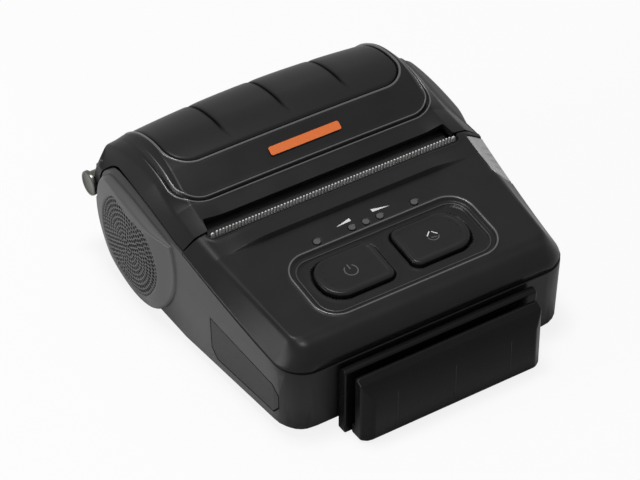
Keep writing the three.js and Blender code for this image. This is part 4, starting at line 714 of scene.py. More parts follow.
def tidy_mesh(piece: bpy.types.Object, weld: float = 0.002, turn: bool = True) -> None:
    """Merges doubles, deletes empty faces and turns the faces outwards.

    Args:
        piece: the object.
        weld: distance within which points merge, in millimetres.
        turn: True to recalculate the faces' directions.
    """
    work = bmesh.new()
    work.from_mesh(piece.data)
    bmesh.ops.remove_doubles(work, verts=work.verts, dist=weld * MM)
    bmesh.ops.dissolve_degenerate(work, edges=work.edges, dist=weld * MM / 2)
    if turn:
        bmesh.ops.recalc_face_normals(work, faces=work.faces)
    work.to_mesh(piece.data)
    work.free()


def shade(piece: bpy.types.Object, angle: float = 32.0) -> None:
    """Smooth shading with sharp edges over an angle in degrees."""
    piece.data.shade_smooth()
    piece.data.set_sharp_from_angle(angle=math.radians(angle))


def rounded_edges(piece: bpy.types.Object, width: float, segments: int = 2, angle: float = 35.0) -> None:
    """Adds a Bevel modifier and a Weighted Normal modifier.

    Args:
        piece: the object.
        width: width of the round in millimetres.
        segments: faces across the round.
        angle: edges sharper than this are rounded, in degrees.
    """
    bevel = piece.modifiers.new("round", "BEVEL")
    bevel.width = width * MM
    bevel.segments = segments
    bevel.limit_method = "ANGLE"
    bevel.angle_limit = math.radians(angle)
    bevel.use_clamp_overlap = True
    bevel.harden_normals = True


def walled(piece: bpy.types.Object, thickness: float) -> None:
    """Gives an open skin an even wall on its inner side.

    Args:
        piece: the skin.
        thickness: thickness of the wall in millimetres.
    """
    solid = piece.modifiers.new("wall", "SOLIDIFY")
    solid.thickness = thickness * MM
    solid.offset = -1
    solid.use_even_offset = True


def grid_object(
    name: str,
    grid: np.ndarray,
    weld: float,
    angle: float,
    closed: bool = False,
    turn: bool = True,
    pits: np.ndarray | None = None,
) -> bpy.types.Object:
    """Makes a smooth object from a grid of points.

    Args:
        name: the object's name.
        grid: points in millimetres, (rows, columns, 3).
        weld: distance within which points merge, in millimetres.
        angle: edges over this angle stay sharp, in degrees.
        closed: True if a row's last point joins its first.
        turn: True to recalculate the faces' directions.
        pits: a number for each point, kept as the attribute "pit", which the pierced finishes paint as shade.

    Returns:
        The object.
    """
    piece = new_object(name, grid, grid_faces(*grid.shape[:2], closed))
    if pits is not None:
        layer = piece.data.attributes.new("pit_and_shade", "FLOAT", "POINT")
        layer.data.foreach_set("value", pits.ravel().astype(np.float32))
    tidy_mesh(piece, weld, turn)
    shade(piece, angle)
    return piece


def place(piece: bpy.types.Object, finish: str, body: str, slot: str, replaces: tuple = ()) -> None:
    """Gives a piece its finish and its body, hides the CAD nodes that it stands for, and reports it.

    Args:
        piece: the finished object.
        finish: name of its finish.
        body: name of the body that it rides on.
        slot: material slot of the record; not used.
        replaces: CAD nodes that it stands for.
    """
    piece.data.materials.clear()
    piece.data.materials.append(paint(finish))
    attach(piece, body)
    if replaces:
        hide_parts(*replaces)
    log.info("piece %s on %s: %d faces", piece.name, body, len(piece.data.polygons))


def refined(node: str, width: float, segments: int = 2, angle: float = 35.0) -> bpy.types.Object:
    """A merged copy of a CAD node with rounded edges and smooth shading.

    Args:
        node: the CAD node.
        width: width of the rounded edges in millimetres, 0 for none.
        segments: faces across a rounded edge.
        angle: edges sharper than this are rounded, in degrees.

    Returns:
        The copy.
    """
    mesh = frame["nodes"][node].data.copy()
    mesh.name = f"{node}_fine"
    work = bmesh.new()
    work.from_mesh(mesh)
    bmesh.ops.remove_doubles(work, verts=work.verts, dist=1e-6)
    bmesh.ops.dissolve_limit(work, angle_limit=math.radians(1.0), verts=work.verts, edges=work.edges)
    work.to_mesh(mesh)
    work.free()
    piece = bpy.data.objects.new(f"{node}_fine", mesh)
    bpy.context.scene.collection.objects.link(piece)
    shade(piece, angle)
    if width:
        rounded_edges(piece, width, segments, angle)
    return piece


def swept(
    name: str, path: np.ndarray, normals: np.ndarray, profile: np.ndarray, scale: np.ndarray | None = None
) -> bpy.types.Object:
    """A closed profile carried along a path: point = path + a * side + b * normal, side = tangent x normal.

    Args:
        name: the object's name.
        path: points of the path, (n, 3).
        normals: the surface's normal at each point, (n, 3).
        profile: points (a, b) of the profile.
        scale: size of the profile at each point of an open path, or None for a closed path of even size.

    Returns:
        The ring or the open bead.
    """
    closed = scale is None
    tangent = np.roll(path, -1, 0) - np.roll(path, 1, 0) if closed else np.gradient(path, axis=0)
    tangent /= np.linalg.norm(tangent, axis=1, keepdims=True)
    side = np.cross(tangent, normals)
    side /= np.linalg.norm(side, axis=1, keepdims=True)
    section = profile[None, :, :1] * side[:, None] + profile[None, :, 1:] * normals[:, None]
    size = np.ones(len(path)) if closed else scale
    rings = path[:, None] + section * size[:, None, None]
    rows = np.concatenate([rings, rings[:1]]) if closed else rings
    return grid_object(name, rows, 0.002, 50, closed=True)


def plate(name: str, outline: np.ndarray, mapping: object, low: float, high: float) -> bpy.types.Object:
    """A flat outline given a thickness.

    Args:
        name: the object's name.
        outline: points (u, v).
        mapping: function from arrays u, v, w to points in millimetres.
        low: lower height w.
        high: upper height w.

    Returns:
        The plate.
    """
    count = len(outline)
    u, v = outline[:, 0], outline[:, 1]
    points = np.concatenate([mapping(u, v, np.full(count, low)), mapping(u, v, np.full(count, high))])
    ring = np.arange(count)
    after = (ring + 1) % count
    sides = np.stack([ring, after, after + count, ring + count], 1).tolist()
    faces = sides + [ring[::-1].tolist(), (ring + count).tolist()]
    piece = new_object(name, points, faces)
    tidy_mesh(piece, 0.0005)
    return piece


def facing_front(front_y: float, u: np.ndarray, v: np.ndarray, w: np.ndarray) -> np.ndarray:
    """(u, v, w) is (x, z, distance in front of front_y)."""
    return np.stack([u, front_y - w, v], -1)


def facing_side(side: Side, u: np.ndarray, v: np.ndarray, w: np.ndarray) -> np.ndarray:
    """(u, v, w) is (y, z, |x|)."""
    return np.stack([side.value * w, u, v], -1)


# The printer's form.


@dataclass(frozen=True)
class Form:
    """Outer form of the printer: heights, half widths and seams as functions of Y."""

    half_width: float = 49.4
    front_half_width: float = 46.4
    front_y: float = -47.0
    rear_y: float = 57.2
    corner_radius: float = 9.0
    tear_y: float = 3.5
    rim_z: float = 37.0
    roll_y: float = 33.7
    roll_z: float = 24.1
    roll_radius: float = 23.5
    lid_front_y: float = 8.1
    lid_corner_y: float = 4.0
    slot_half: float = 41.5
    crease_drop: float = 0.5
    groove_y: float = 13.7
    groove_z: float = 39.8
    shoulder: float = 25.0
    front_band: float = 6.05
    band_run: float = 10.07
    band_rise: float = 5.6
    crown_rise: float = 10.6
    facet: float = 4.6
    seam_front_z: float = 22.8
    cad_seam_front_z: float = 21.4
    cad_low_z: float = 1.8
    drop: float = 1.3
    seam_slot_z: float = 33.4
    seam_arch_z: float = 36.4
    dive_y: float = 41.0
    dive_length: float = 8.2
    hinge_y: float = 54.2
    hinge_z: float = 24.3
    nose_y: float = -38.5
    nose_z: float = 31.0
    plateau_y: float = -5.4
    plateau_z: float = 35.1
    plateau_step: float = 1.5
    wall: float = 2.0

    @property
    def slope(self) -> float:
        """Rise of the control panel over its run."""
        return (self.plateau_z - self.nose_z) / (self.plateau_y - self.nose_y)

    @property
    def flat_half(self) -> float:
        """Half width of the lid's crowned top, between its facets."""
        return self.half_width - 2 * self.facet

    @property
    def shoulder_turn(self) -> float:
        """Lean of the lid's section at the shoulder, where its band meets the drum, in radians."""
        return math.radians(self.shoulder)

    @property
    def shoulder_place(self) -> tuple[float, float]:
        """Y and Z of the shoulder."""
        across, up = math.sin(self.shoulder_turn), math.cos(self.shoulder_turn)
        return self.roll_y - self.roll_radius * across, self.roll_z + self.roll_radius * up

    @property
    def shoulder_along(self) -> float:
        """Distance of the shoulder from the drum's crown along the lid's top line."""
        return self.roll_radius * self.shoulder_turn

    @property
    def band_length(self) -> float:
        """Length of the band from the groove up to the shoulder."""
        return math.hypot(self.band_run, self.band_rise)

    def crown(self, z: np.ndarray) -> np.ndarray:
        """Crown of the lid's section whose top is at z: 0 at the rim, 1 at the top of the drum."""
        return np.clip((z - self.rim_z) / self.crown_rise, 0, 1)

    def crease(self, z: np.ndarray) -> np.ndarray:
        """Drop of the crease beside the lid's top: a set drop, and 0.45 of the height over the rim."""
        return self.crease_drop + 0.45 * np.maximum(0, z - self.rim_z)

    def turned(self, stations: np.ndarray, radii: np.ndarray, count: int) -> np.ndarray:
        """A profile turned about the hinge line: the hinge's place plus the radius times cos and sin.

        Args:
            stations: X of the profile's points.
            radii: their distances from the hinge line.
            count: points on a ring.

        Returns:
            A grid of points, (stations, count, 3).
        """
        y = self.hinge_y + radii[:, None] * np.cos(circle(count))
        z = self.hinge_z + radii[:, None] * np.sin(circle(count))
        return np.stack([np.broadcast_to(stations[:, None], y.shape), y, z], -1)

    def edge(self, y: np.ndarray) -> np.ndarray:
        """Half width at the seam: full behind the tear bar, narrowing evenly to the front corners.

        Args:
            y: places along.

        Returns:
            Half widths in millimetres.
        """
        taper = self.tear_y - self.front_y - self.corner_radius
        share = np.clip((self.tear_y - y) / taper, 0, 1)
        return self.half_width + (self.front_half_width - self.half_width) * share

    def seam(self, y: np.ndarray, front_z: float | None = None) -> np.ndarray:
        """Seam height: a power curve up to the tear bar, then a smooth step up to the arch.

        Args:
            y: places along.
            front_z: height at the front, or None for the printer's own.

        Returns:
            Z in millimetres.
        """
        share = np.clip((y - self.front_y) / (self.tear_y - self.front_y), 0, 1)
        start = self.seam_front_z if front_z is None else front_z
        front = start + (self.seam_slot_z - start) * share**1.35
        rise = smooth_step((y - self.tear_y) / (self.dive_y - self.tear_y))
        rear = self.seam_slot_z + (self.seam_arch_z - self.seam_slot_z) * rise
        return np.where(y <= self.tear_y, front, rear)

    def settled(self, y: np.ndarray, z: np.ndarray) -> np.ndarray:
        """Heights on the lower case's walls, drawn down at the floor and up at the front seam.

        Args:
            y: places along.
            z: heights in the CAD solids.

        Returns:
            Heights in the finished case.
        """
        cad_seam = self.seam(y, self.cad_seam_front_z)
        near_floor = 1 - smooth_step((z - self.cad_low_z) / 12)
        near_seam = smooth_step((z - 8) / (cad_seam - 8))
        return z - self.drop * near_floor + (self.seam(y) - cad_seam) * near_seam

    def seam_curve(self, offset: float) -> np.ndarray:
        """Side view of the seam under the lid: the seam height, then a quarter ellipse down.

        Args:
            offset: how far the curve is raised.

        Returns:
            An array of (y, z).
        """
        y = np.linspace(self.lid_corner_y - 6, self.dive_y, 120)
        angle = np.radians(np.linspace(0, 100, 80))[1:]
        dive_y = self.dive_y + (self.dive_length + offset) * np.sin(angle)
        dive_z = self.hinge_z + (self.seam_arch_z + offset - self.hinge_z) * np.cos(angle)
        rise = self.seam(y) + offset
        return np.stack([np.concatenate([y, dive_y]), np.concatenate([rise, dive_z])], 1)

    def panel_z(self, y: np.ndarray) -> np.ndarray:
        """Height of the control panel's plane."""
        return self.nose_z + self.slope * (y - self.nose_y)

    def lid_line(self, share: np.ndarray, front: np.ndarray) -> tuple[np.ndarray, np.ndarray, np.ndarray]:
        """Top line of the lid in side view, from its front edge over the drum to the rear.

        Args:
            share: 0 at the front edge, 1 at the groove, 2 at the shoulder, 3 at the rear end.
            front: Y of the front edge, which differs beside the slot.

        Returns:
            Y, Z and the inward lean of the section in radians.
        """
        shoulder = self.shoulder_turn
        shoulder_y, shoulder_z = self.shoulder_place
        front_z = self.rim_z + self.crease_drop
        to_groove = np.clip(share, 0, 1)
        to_shoulder = np.clip(share - 1, 0, 1)
        round_share = np.clip(share - 2, 0, 1)
        y = front + (self.groove_y - front) * to_groove + (shoulder_y - self.groove_y) * to_shoulder
        rise = np.clip((y - self.lid_front_y) / (self.groove_y - self.lid_front_y), 0, 1)
        z = front_z + (self.groove_z - front_z) * rise + (shoulder_z - self.groove_z) * to_shoulder
        lean = shoulder * np.clip((y - self.lid_front_y) / (shoulder_y - self.lid_front_y), 0, 1)
        turn = lean - (math.pi / 2 + shoulder) * round_share
        drum_y = self.roll_y - self.roll_radius * np.sin(turn)
        drum_z = self.roll_z + self.roll_radius * np.cos(turn)
        on_drum = share > 2
        return np.where(on_drum, drum_y, y), np.where(on_drum, drum_z, z), np.where(on_drum, turn, lean)


FORM = Form()


@dataclass(frozen=True)
class Studio:
    """Floor, lights, world and camera."""

    camera_place: tuple = (-344.53, -524.04, 541.21)
    azimuth: float = 32.8
    elevation: float = 39.8
    roll: float = 0.142
    lens: float = 163.1
    floor_half: float = 3000.0
    ambient: float = 0.3
    floor_glow: float = 0.85

    def build(self) -> None:
        """Makes the floor, the world, the lights and the camera."""
        bpy.context.scene.view_settings.view_transform = "Standard"
        self.floor()
        self.world()
        self.lamp("overhead_light", (-60, 60, 900), 260, 5.0)
        self.lamp("left_light", (-880, 160, 120), 420, 5.2)
        self.camera()

    def floor(self) -> None:
        """A plain pale floor that keeps the object's shadow, with a glow that only the camera sees."""
        half = self.floor_half
        corners = [(-half, -half, 0), (half, -half, 0), (half, half, 0), (-half, half, 0)]
        floor = new_object("studio_floor", np.array(corners, float), [(0, 1, 2, 3)])
        recipe = Recipe("pale_floor")
        rough = recipe.noise(30.0) * 0.1 + 0.75
        seen = recipe.node("ShaderNodeLightPath", output="Is Camera Ray")
        recipe.cover(seen * self.floor_glow, "ShaderNodeEmission", (1, 1, 1, 1))
        recipe.dress(Base_Color=(0.9, 0.9, 0.9, 1), Roughness=rough, Specular_IOR_Level=0.1)
        floor.data.materials.append(recipe.material)

    def world(self) -> None:
        """White to the camera and in reflections, and an even, plain light otherwise."""
        world = bpy.data.worlds.new("studio")
        bpy.context.scene.world = world
        world.use_nodes = True
        tree = world.node_tree
        tree.nodes.clear()
        output = tree.nodes.new("ShaderNodeOutputWorld")
        backdrop = tree.nodes.new("ShaderNodeBackground")
        path = tree.nodes.new("ShaderNodeLightPath")
        seen = Value(tree, path.outputs["Is Camera Ray"]) + Value(tree, path.outputs["Is Glossy Ray"])
        seen = seen + Value(tree, path.outputs["Is Transmission Ray"])
        strength = seen * (1 - self.ambient) + self.ambient
        tree.links.new(strength.socket, backdrop.inputs["Strength"])
        tree.links.new(backdrop.outputs[0], output.inputs[0])

    def lamp(self, name: str, place_mm: tuple, size: float, power: float) -> None:
        """A soft square light that faces the printer.

        Args:
            name: the lamp's name.
            place_mm: where it hangs.
            size: its side.
            power: its power in watts.
        """
        data = bpy.data.lights.new(name, "AREA")
        data.shape = "SQUARE"
        data.size = size * MM
        data.energy = power
        lamp = bpy.data.objects.new(name, data)
        lamp.location = Vector(place_mm) * MM
        towards = Vector((0, 0, 20)) * MM - lamp.location
        lamp.rotation_euler = towards.to_track_quat("-Z", "Y").to_euler()
        bpy.context.scene.collection.objects.link(lamp)

    def camera(self) -> None:
        """The camera at the photograph's angle."""
        data = bpy.data.cameras.new("camera")
        data.sensor_width = 36.0
        data.lens = self.lens
        data.clip_end = 20
        azimuth, elevation, roll = (math.radians(v) for v in (self.azimuth, self.elevation, self.roll))
        level = math.cos(elevation)
        forward = Vector((math.sin(azimuth) * level, math.cos(azimuth) * level, -math.sin(elevation)))
        right = Vector((math.cos(azimuth), -math.sin(azimuth), 0))
        up = right.cross(forward)
        across = right * math.cos(roll) + up * math.sin(roll)
        upright = up * math.cos(roll) - right * math.sin(roll)
        turned = Matrix((across, upright, -forward)).transposed().to_4x4()
        turned.translation = Vector(self.camera_place) * MM
        camera = bpy.data.objects.new("camera", data)
        camera.matrix_world = turned
        bpy.context.scene.collection.objects.link(camera)
        bpy.context.scene.camera = camera


@dataclass(frozen=True)
class Lid:
    """Lid over the paper roll: shell, pad with its lip, plate, hinge bead and ears.

    Along its top line, a distance counts from the drum's crown and is positive to the front.
    """

    rows: tuple = (
        (0, 0.72, 14), (0.72, 1.3, 26), (1.3, 2.0, 14), (2.0, 2.05, 14), (2.05, 2.72, 60), (2.72, 2.86, 16),
        (2.86, 3.0, 16),
    )
    fine_x: float = 37.4
    facet_steps: int = 26
    wall_steps: int = 18
    pad_half: float = 38.5
    pad_front: float = 24.0
    pad_rear: float = 66.0
    pad_radius: float = 7.5
    pad_thickness: float = 0.9
    pad_gap: float = 0.35
    pad_sunk: float = 0.12
    recess: float = 1.2
    groove_half: float = 42.3
    groove_radius: float = 8.5
    groove_turn: float = 1.6
    groove_depth: float = 1.1
    groove_fade: tuple = (-22.0, 34.0)
    lip_offset: float = 0.75
    lip_rear: float = -4.0
    creases: tuple = (-20.0, 0.0, 20.0)
    crease_depth: float = 0.6
    pillow: float = 1.3
    bead_radius: float = 3.0
    bead_round: float = 0.4
    ear_radius: float = 4.6
    ear_inner: float = 42.6
    ear_outer: float = 46.3
    lug_inner: float = 42.2
    plate_y: float = 18.7
    plate_z: float = 42.58

    @property
    def pad_turns(self) -> tuple[float, float]:
        """Turns of the pad's front and rear on the drum, in radians."""
        return math.radians(self.pad_front), -math.radians(self.pad_rear)

    @property
    def pad_ends(self) -> tuple[float, float]:
        """Distances of the pad's front and rear along the top line."""
        front, rear = self.pad_turns
        return FORM.roll_radius * front, FORM.roll_radius * rear

    @property
    def groove_front(self) -> float:
        """Distance of the groove's front along the top line."""
        return FORM.shoulder_along + FORM.band_length

    def arc_place(self, y: np.ndarray, z: np.ndarray, lean: np.ndarray) -> np.ndarray:
        """Distance along the top line: the radius times the lean, and before the shoulder a straight line's.

        Args:
            y: places along.
            z: heights.
            lean: lean of the section in radians.

        Returns:
            Distances in millimetres.
        """
        shoulder_y, shoulder_z = FORM.shoulder_place
        before = np.hypot(y - shoulder_y, z - shoulder_z) + FORM.shoulder_along
        return np.where(y < shoulder_y - 1e-6, before, FORM.roll_radius * lean)

    def share_at(self, along: np.ndarray) -> np.ndarray:
        """Share along the top line, as Form.lid_line takes it, at a distance along it.

        On the drum the distance counts as a turn, and on each of the two bands as a part of its length.

        Args:
            along: distances along the top line.

        Returns:
            Shares from 0 to 3.
        """
        turn = FORM.shoulder_turn
        on_drum = 2 + (turn - along / FORM.roll_radius) / (math.pi / 2 + turn)
        on_band = 2 - (along - FORM.shoulder_along) / FORM.band_length
        share = np.where(along <= FORM.shoulder_along, on_drum, on_band)
        return np.where(share < 1, 1 - (1 - share) * FORM.band_length / FORM.front_band, share)

    def pad_distance(self, x: np.ndarray, along: np.ndarray, margin: float) -> np.ndarray:
        """Signed distance to the pad's outline.

        Args:
            x: places across.
            along: distances along the top line.
            margin: how far the outline is grown.

        Returns:
            Distance, negative inside.
        """
        front, rear = self.pad_ends
        half = (front - rear) / 2 + margin
        middle = (front + rear) / 2
        return rounded_distance(x, along - middle, self.pad_half + margin, half, self.pad_radius + margin)

    def depth(self, x: np.ndarray, along: np.ndarray) -> np.ndarray:
        """How far the shell is sunk: the pad's recess, and a groove parallel to it that fades to the rear.

        Args:
            x: places across.
            along: distances along the top line.

        Returns:
            Depths in millimetres.
        """
        recess = self.recess * smooth_step((0.25 - self.pad_distance(x, along, self.pad_gap)) / 0.5)
        front, rear = self.groove_front, -FORM.roll_radius * self.groove_turn
        half, middle = (front - rear) / 2, (front + rear) / 2
        distance = rounded_distance(x, along - middle, self.groove_half, half, self.groove_radius)
        groove = self.groove_depth * hump(distance, 0.5) - 0.25 * hump(distance, 1.0)
        start, length = self.groove_fade
        return recess + groove * smooth_step((along - start) / length)

    def end_rise(self, x: np.ndarray | float, y: np.ndarray) -> np.ndarray:
        """Lift of the front band towards its two ends, where it slopes evenly down to the front corners.

        Args:
            x: places across.
            y: places along.

        Returns:
            Lifts in millimetres.
        """
        rise = FORM.groove_z - FORM.rim_z - FORM.crease_drop
        middle = np.clip((y - FORM.lid_front_y) / (FORM.groove_y - FORM.lid_front_y), 0, 1)
        corner = np.clip((y - FORM.lid_corner_y) / (FORM.groove_y - FORM.lid_corner_y), 0, 1)
        return rise * (corner - middle) * smooth_step((np.abs(x) - 33.0) / 8.2)

    def surface(self, x: np.ndarray, share: np.ndarray, front: np.ndarray, sunk: bool = True) -> np.ndarray:
        """Points on the crowned top of the lid: top line, less a crown that grows with |x|.

        Args:
            x: places across the lid, less than its half width minus the facet.
            share: places along the top line, as Form.lid_line takes them.
            front: Y of the front edge.
            sunk: True to sink the pad's recess and the groove.

        Returns:
            Points in millimetres.
        """
        y, z, lean = FORM.lid_line(share, front)
        z = z + self.end_rise(x, y)
        flat = FORM.flat_half
        beyond = np.clip((np.abs(x) - flat) / FORM.facet, 0, 1)
        down = FORM.crown(z) * np.minimum(np.abs(x) / flat, 1) ** 2 + beyond * FORM.crease(z)
        if sunk:
            down = down + self.depth(x, self.arc_place(y, z, lean))
        return np.stack([x, y + down * np.sin(lean), z - down * np.cos(lean)], -1)

    def shell_top(self, share: np.ndarray) -> np.ndarray:
        """Points of the right half of the shell's top, from the middle to the facet.

        Args:
            share: places along the top line, (rows, 1).

        Returns:
            Points in millimetres, (rows, columns, 3).
        """
        outer = np.linspace(self.fine_x + 0.1, FORM.flat_half, 14)
        across = np.concatenate([np.linspace(0, self.fine_x, 60), outer])
        step = smooth_step((np.abs(across) - FORM.slot_half + 0.25) / 0.5)
        fronts = FORM.lid_front_y + (FORM.lid_corner_y - FORM.lid_front_y) * step
        return self.surface(np.broadcast_to(across, (len(share), len(across))), share, fronts[None, :])

    def shell_side(self, share: np.ndarray) -> np.ndarray:
        """Points of the shell's right side: over the facet and down the wall to the seam.

        The rows end a little higher than the top's, over the hinge ears.

        Args:
            share: places along the top line, (rows, 1).

        Returns:
            Points in millimetres, (rows, columns, 3).
        """
        inner_share = np.where(share > 2, 2 + (share - 2) * 0.985, share)
        y, z, lean = FORM.lid_line(inner_share, np.full_like(share, FORM.lid_corner_y))
        z = z + self.end_rise(FORM.half_width, y)
        crown = FORM.crown(z)
        crease = crown + FORM.crease(z)
        inward = np.concatenate([np.sin(lean), -np.cos(lean)], 1)
        seam = self.seam_depth(np.concatenate([y, z], 1), inward)[:, None]
        facet = np.maximum((z - FORM.seam_slot_z) / np.maximum(np.cos(lean), 0.05), crease + 0.6)
        facet = np.where(lean < -1.0, crease + 4.0, facet)
        end = np.minimum(facet, seam)
        inner_x = FORM.half_width - FORM.facet
        end_x = inner_x + FORM.facet * np.clip((end - crease) / (facet - crease), 0, 1)
        first = np.linspace(0, 1, self.facet_steps + 1)[None, 1:]
        top_x = FORM.flat_half + FORM.facet * first + 0 * crown
        sunk = self.depth(top_x, self.arc_place(y, z, lean) + 0 * top_x)
        top_down = crown + (crease - crown) * first + sunk
        facet_length = np.hypot(end_x - inner_x, end - crease)
        run = np.linspace(0, 1, self.wall_steps + 1)[None, 1:] * (facet_length + (seam - end))
        on_facet = np.clip(run / np.maximum(facet_length, 1e-6), 0, 1)
        wall_x = inner_x + (end_x - inner_x) * on_facet
        wall_down = crease + (end - crease) * on_facet + np.maximum(run - facet_length, 0)
        x = np.concatenate([top_x, wall_x], 1)
        down = np.concatenate([top_down, wall_down], 1)
        return np.stack([x, y + down * np.sin(lean), z - down * np.cos(lean)], -1)

    def shell_grid(self) -> np.ndarray:
        """Points of the shell's outer skin: the two halves with their creases rounded.

        Returns:
            Points in millimetres, (rows, columns, 3).
        """
        shares = np.unique(np.concatenate([np.linspace(*row) for row in self.rows]))[:, None]
        top = self.shell_top(shares)
        half = np.concatenate([top, self.shell_side(shares)], 1)
        join = top.shape[1]
        half = soften(half, 1, join - 3, join + 3, 4)
        half = soften(half, 1, join + self.facet_steps - 6, join + self.facet_steps + 3, 6)
        mirrored = half[:, :0:-1] * np.array([-1, 1, 1])
        return np.concatenate([mirrored, half], 1)

    def seam_depth(self, start: np.ndarray, direction: np.ndarray) -> np.ndarray:
        """Depth at which each section's line meets the seam: the first change of side along its curve.

        Args:
            start: points (y, z) on the top line.
            direction: unit vectors inward.

        Returns:
            A depth for each line.
        """
        offset = FORM.seam_curve(0.6)[None] - start[:, None]
        side = direction[:, None, 0] * offset[..., 1] - direction[:, None, 1] * offset[..., 0]
        reach = (offset * direction[:, None]).sum(-1)
        change = (side[:, :-1] * side[:, 1:] <= 0) & (reach[:, :-1] > 0)
        first = np.argmax(change, 1)
        rows = np.arange(len(start))
        before, after = side[rows, first], side[rows, first + 1]
        share = before / np.where(before == after, 1, before - after)
        return reach[rows, first] * (1 - share) + reach[rows, first + 1] * share

    def build(self) -> None:
        """Makes the lid's pieces."""
        shell = grid_object("lid_skin", self.shell_grid(), 0.002, 40)
        walled(shell, FORM.wall - 0.1)
        rounded_edges(shell, 0.3, 2, 50)
        place(shell, "black_lid", "lid", "black_lid", ("lid_shell",))
        self.bead()
        for side in Side:
            self.ear(side)
        self.pad()
        self.pad_lip()
        self.groove_lip("inner", -self.lip_offset)
        self.groove_lip("outer", self.lip_offset)
        self.name_plate()

    def bead(self) -> None:
        """Makes the round bead along the hinge, between the lugs."""
        half, radius, edge = self.lug_inner, self.bead_radius - 0.05, self.bead_round
        stations = np.array([-half, -half, -half + edge, half - edge, half, half])
        radii = np.array([0.01, radius - edge, radius, radius, radius - edge, 0.01])
        bead = grid_object("lid_bead", FORM.turned(stations, radii, 40), 0.03, 40, closed=True)
        place(bead, "black_lid", "lid", "black_lid")

    def ear(self, side: Side) -> None:
        """Makes the round ear about one strap stud.

        Args:
            side: the ear's side.
        """
        outline = FORM.turned(np.zeros(1), np.array([self.ear_radius]), 48)[0, :, 1:]
        outline[:, 0] = np.minimum(outline[:, 0], FORM.rear_y - 0.1)
        name = f"lid_ear_{side.name.lower()}"
        ear = plate(name, outline, partial(facing_side, side), self.ear_inner, self.ear_outer)
        rounded_edges(ear, 0.4, 2, 50)
        shade(ear, 40)
        place(ear, "black_lid", "lid", "black_lid")

    def pad_grid(self) -> tuple[np.ndarray, np.ndarray]:
        """Places on the pad: rows across it, drawn in as quarter circles at its corners.

        Returns:
            X and the lean in radians, each (rows, columns).
        """
        front, rear = self.pad_turns
        radius = self.pad_radius / FORM.roll_radius
        reach = radius * 1.4
        ends = (1 - np.cos(np.linspace(0, np.pi, 15))) / 2 * reach
        middle = np.linspace(rear + reach, front - reach, 70)[1:-1]
        turn = np.concatenate([rear + ends, middle, front - ends[::-1]])
        corner = np.maximum(0, radius - np.minimum(front - turn, turn - rear)) / radius
        half = self.pad_half - self.pad_radius + self.pad_radius * np.sqrt(np.maximum(0, 1 - corner**2))
        marks = tuple(crease / self.pad_half for crease in self.creases)
        x = half[:, None] * spaced(-1, 1, marks, 0.003, 0.014, 0.05)
        return x, np.broadcast_to(turn[:, None], x.shape)

    def pad(self) -> None:
        """Makes the pad: a sheet that follows the drum, pillowed, with three creases that fade forwards and
        painted shade along them.
        """
        x, lean = self.pad_grid()
        front, rear = self.pad_turns
        crown = FORM.crown(FORM.roll_z + FORM.roll_radius * np.cos(lean))
        down = crown * (x / FORM.flat_half) ** 2 + self.pad_sunk
        edge = -self.pad_distance(x, FORM.roll_radius * lean, 0)
        down += 0.35 * (1 - smooth_step(edge / 0.8)) ** 2
        fade = smooth_step((front - 0.1 - lean) / 0.34)
        shadow = np.zeros_like(x)
        for crease_x in self.creases:
            distance = x - crease_x - 1.6 * smooth_step((lean - 0.1) / 0.35)
            step = np.where(distance > 0, np.exp(-distance), np.exp(distance / 0.22))
            down += self.crease_depth * fade * step
            shadow = np.maximum(shadow, fade * hump(distance, 0.6))
        pillow = self.pillow * (1 - (x / self.pad_half) ** 2) * smooth_step((-lean - 0.1) / 0.65)
        radial = FORM.roll_radius - (down - pillow * smooth_step((lean - rear) / 0.35))
        y, z = FORM.roll_y - radial * np.sin(lean), FORM.roll_z + radial * np.cos(lean)
        # The creases' shadow is painted shade: it is kept as the attribute that the pad's finish darkens.
        pad = grid_object("lid_pad_sheet", np.stack([x, y, z], -1), 0.01, 60, pits=shadow)
        walled(pad, self.pad_thickness)
        place(pad, "pad_plastic", "lid", "black_gloss", ("lid_pad",))

    def pad_lip(self) -> None:
        """Makes the raised lip around the pad."""
        front, rear = self.pad_ends
        margin = self.pad_gap + 0.35
        half, radius = (front - rear) / 2 + margin, self.pad_radius + margin
        outline = dense(rounded_outline(self.pad_half + margin, half, radius, radius, 12), 1.2)
        path, lean = self.top_path(outline[:, 0], outline[:, 1] + (front + rear) / 2)
        normals = np.stack([0 * lean, -np.sin(lean), np.cos(lean)], -1)
        profile = bead_profile(((0.38, -0.5), (0.36, 0.0), (0.2, 0.17)), 0.22, (-0.38, -1.0))
        # The lip is a real bead, painted paler as a painted highlight.
        place(swept("pad_lip", path, normals, profile), "lip", "lid", "black_lid")

    def top_path(self, x: np.ndarray, along: np.ndarray) -> tuple[np.ndarray, np.ndarray]:
        """A path on the lid's top, without its recess and groove.

        Args:
            x: places across.
            along: distances along the top line.

        Returns:
            Points in millimetres, and the lean of the section at each in radians.
        """
        share, fronts = self.share_at(along), np.full_like(x, FORM.lid_front_y)
        return self.surface(x, share, fronts, sunk=False), FORM.lid_line(share, fronts)[2]

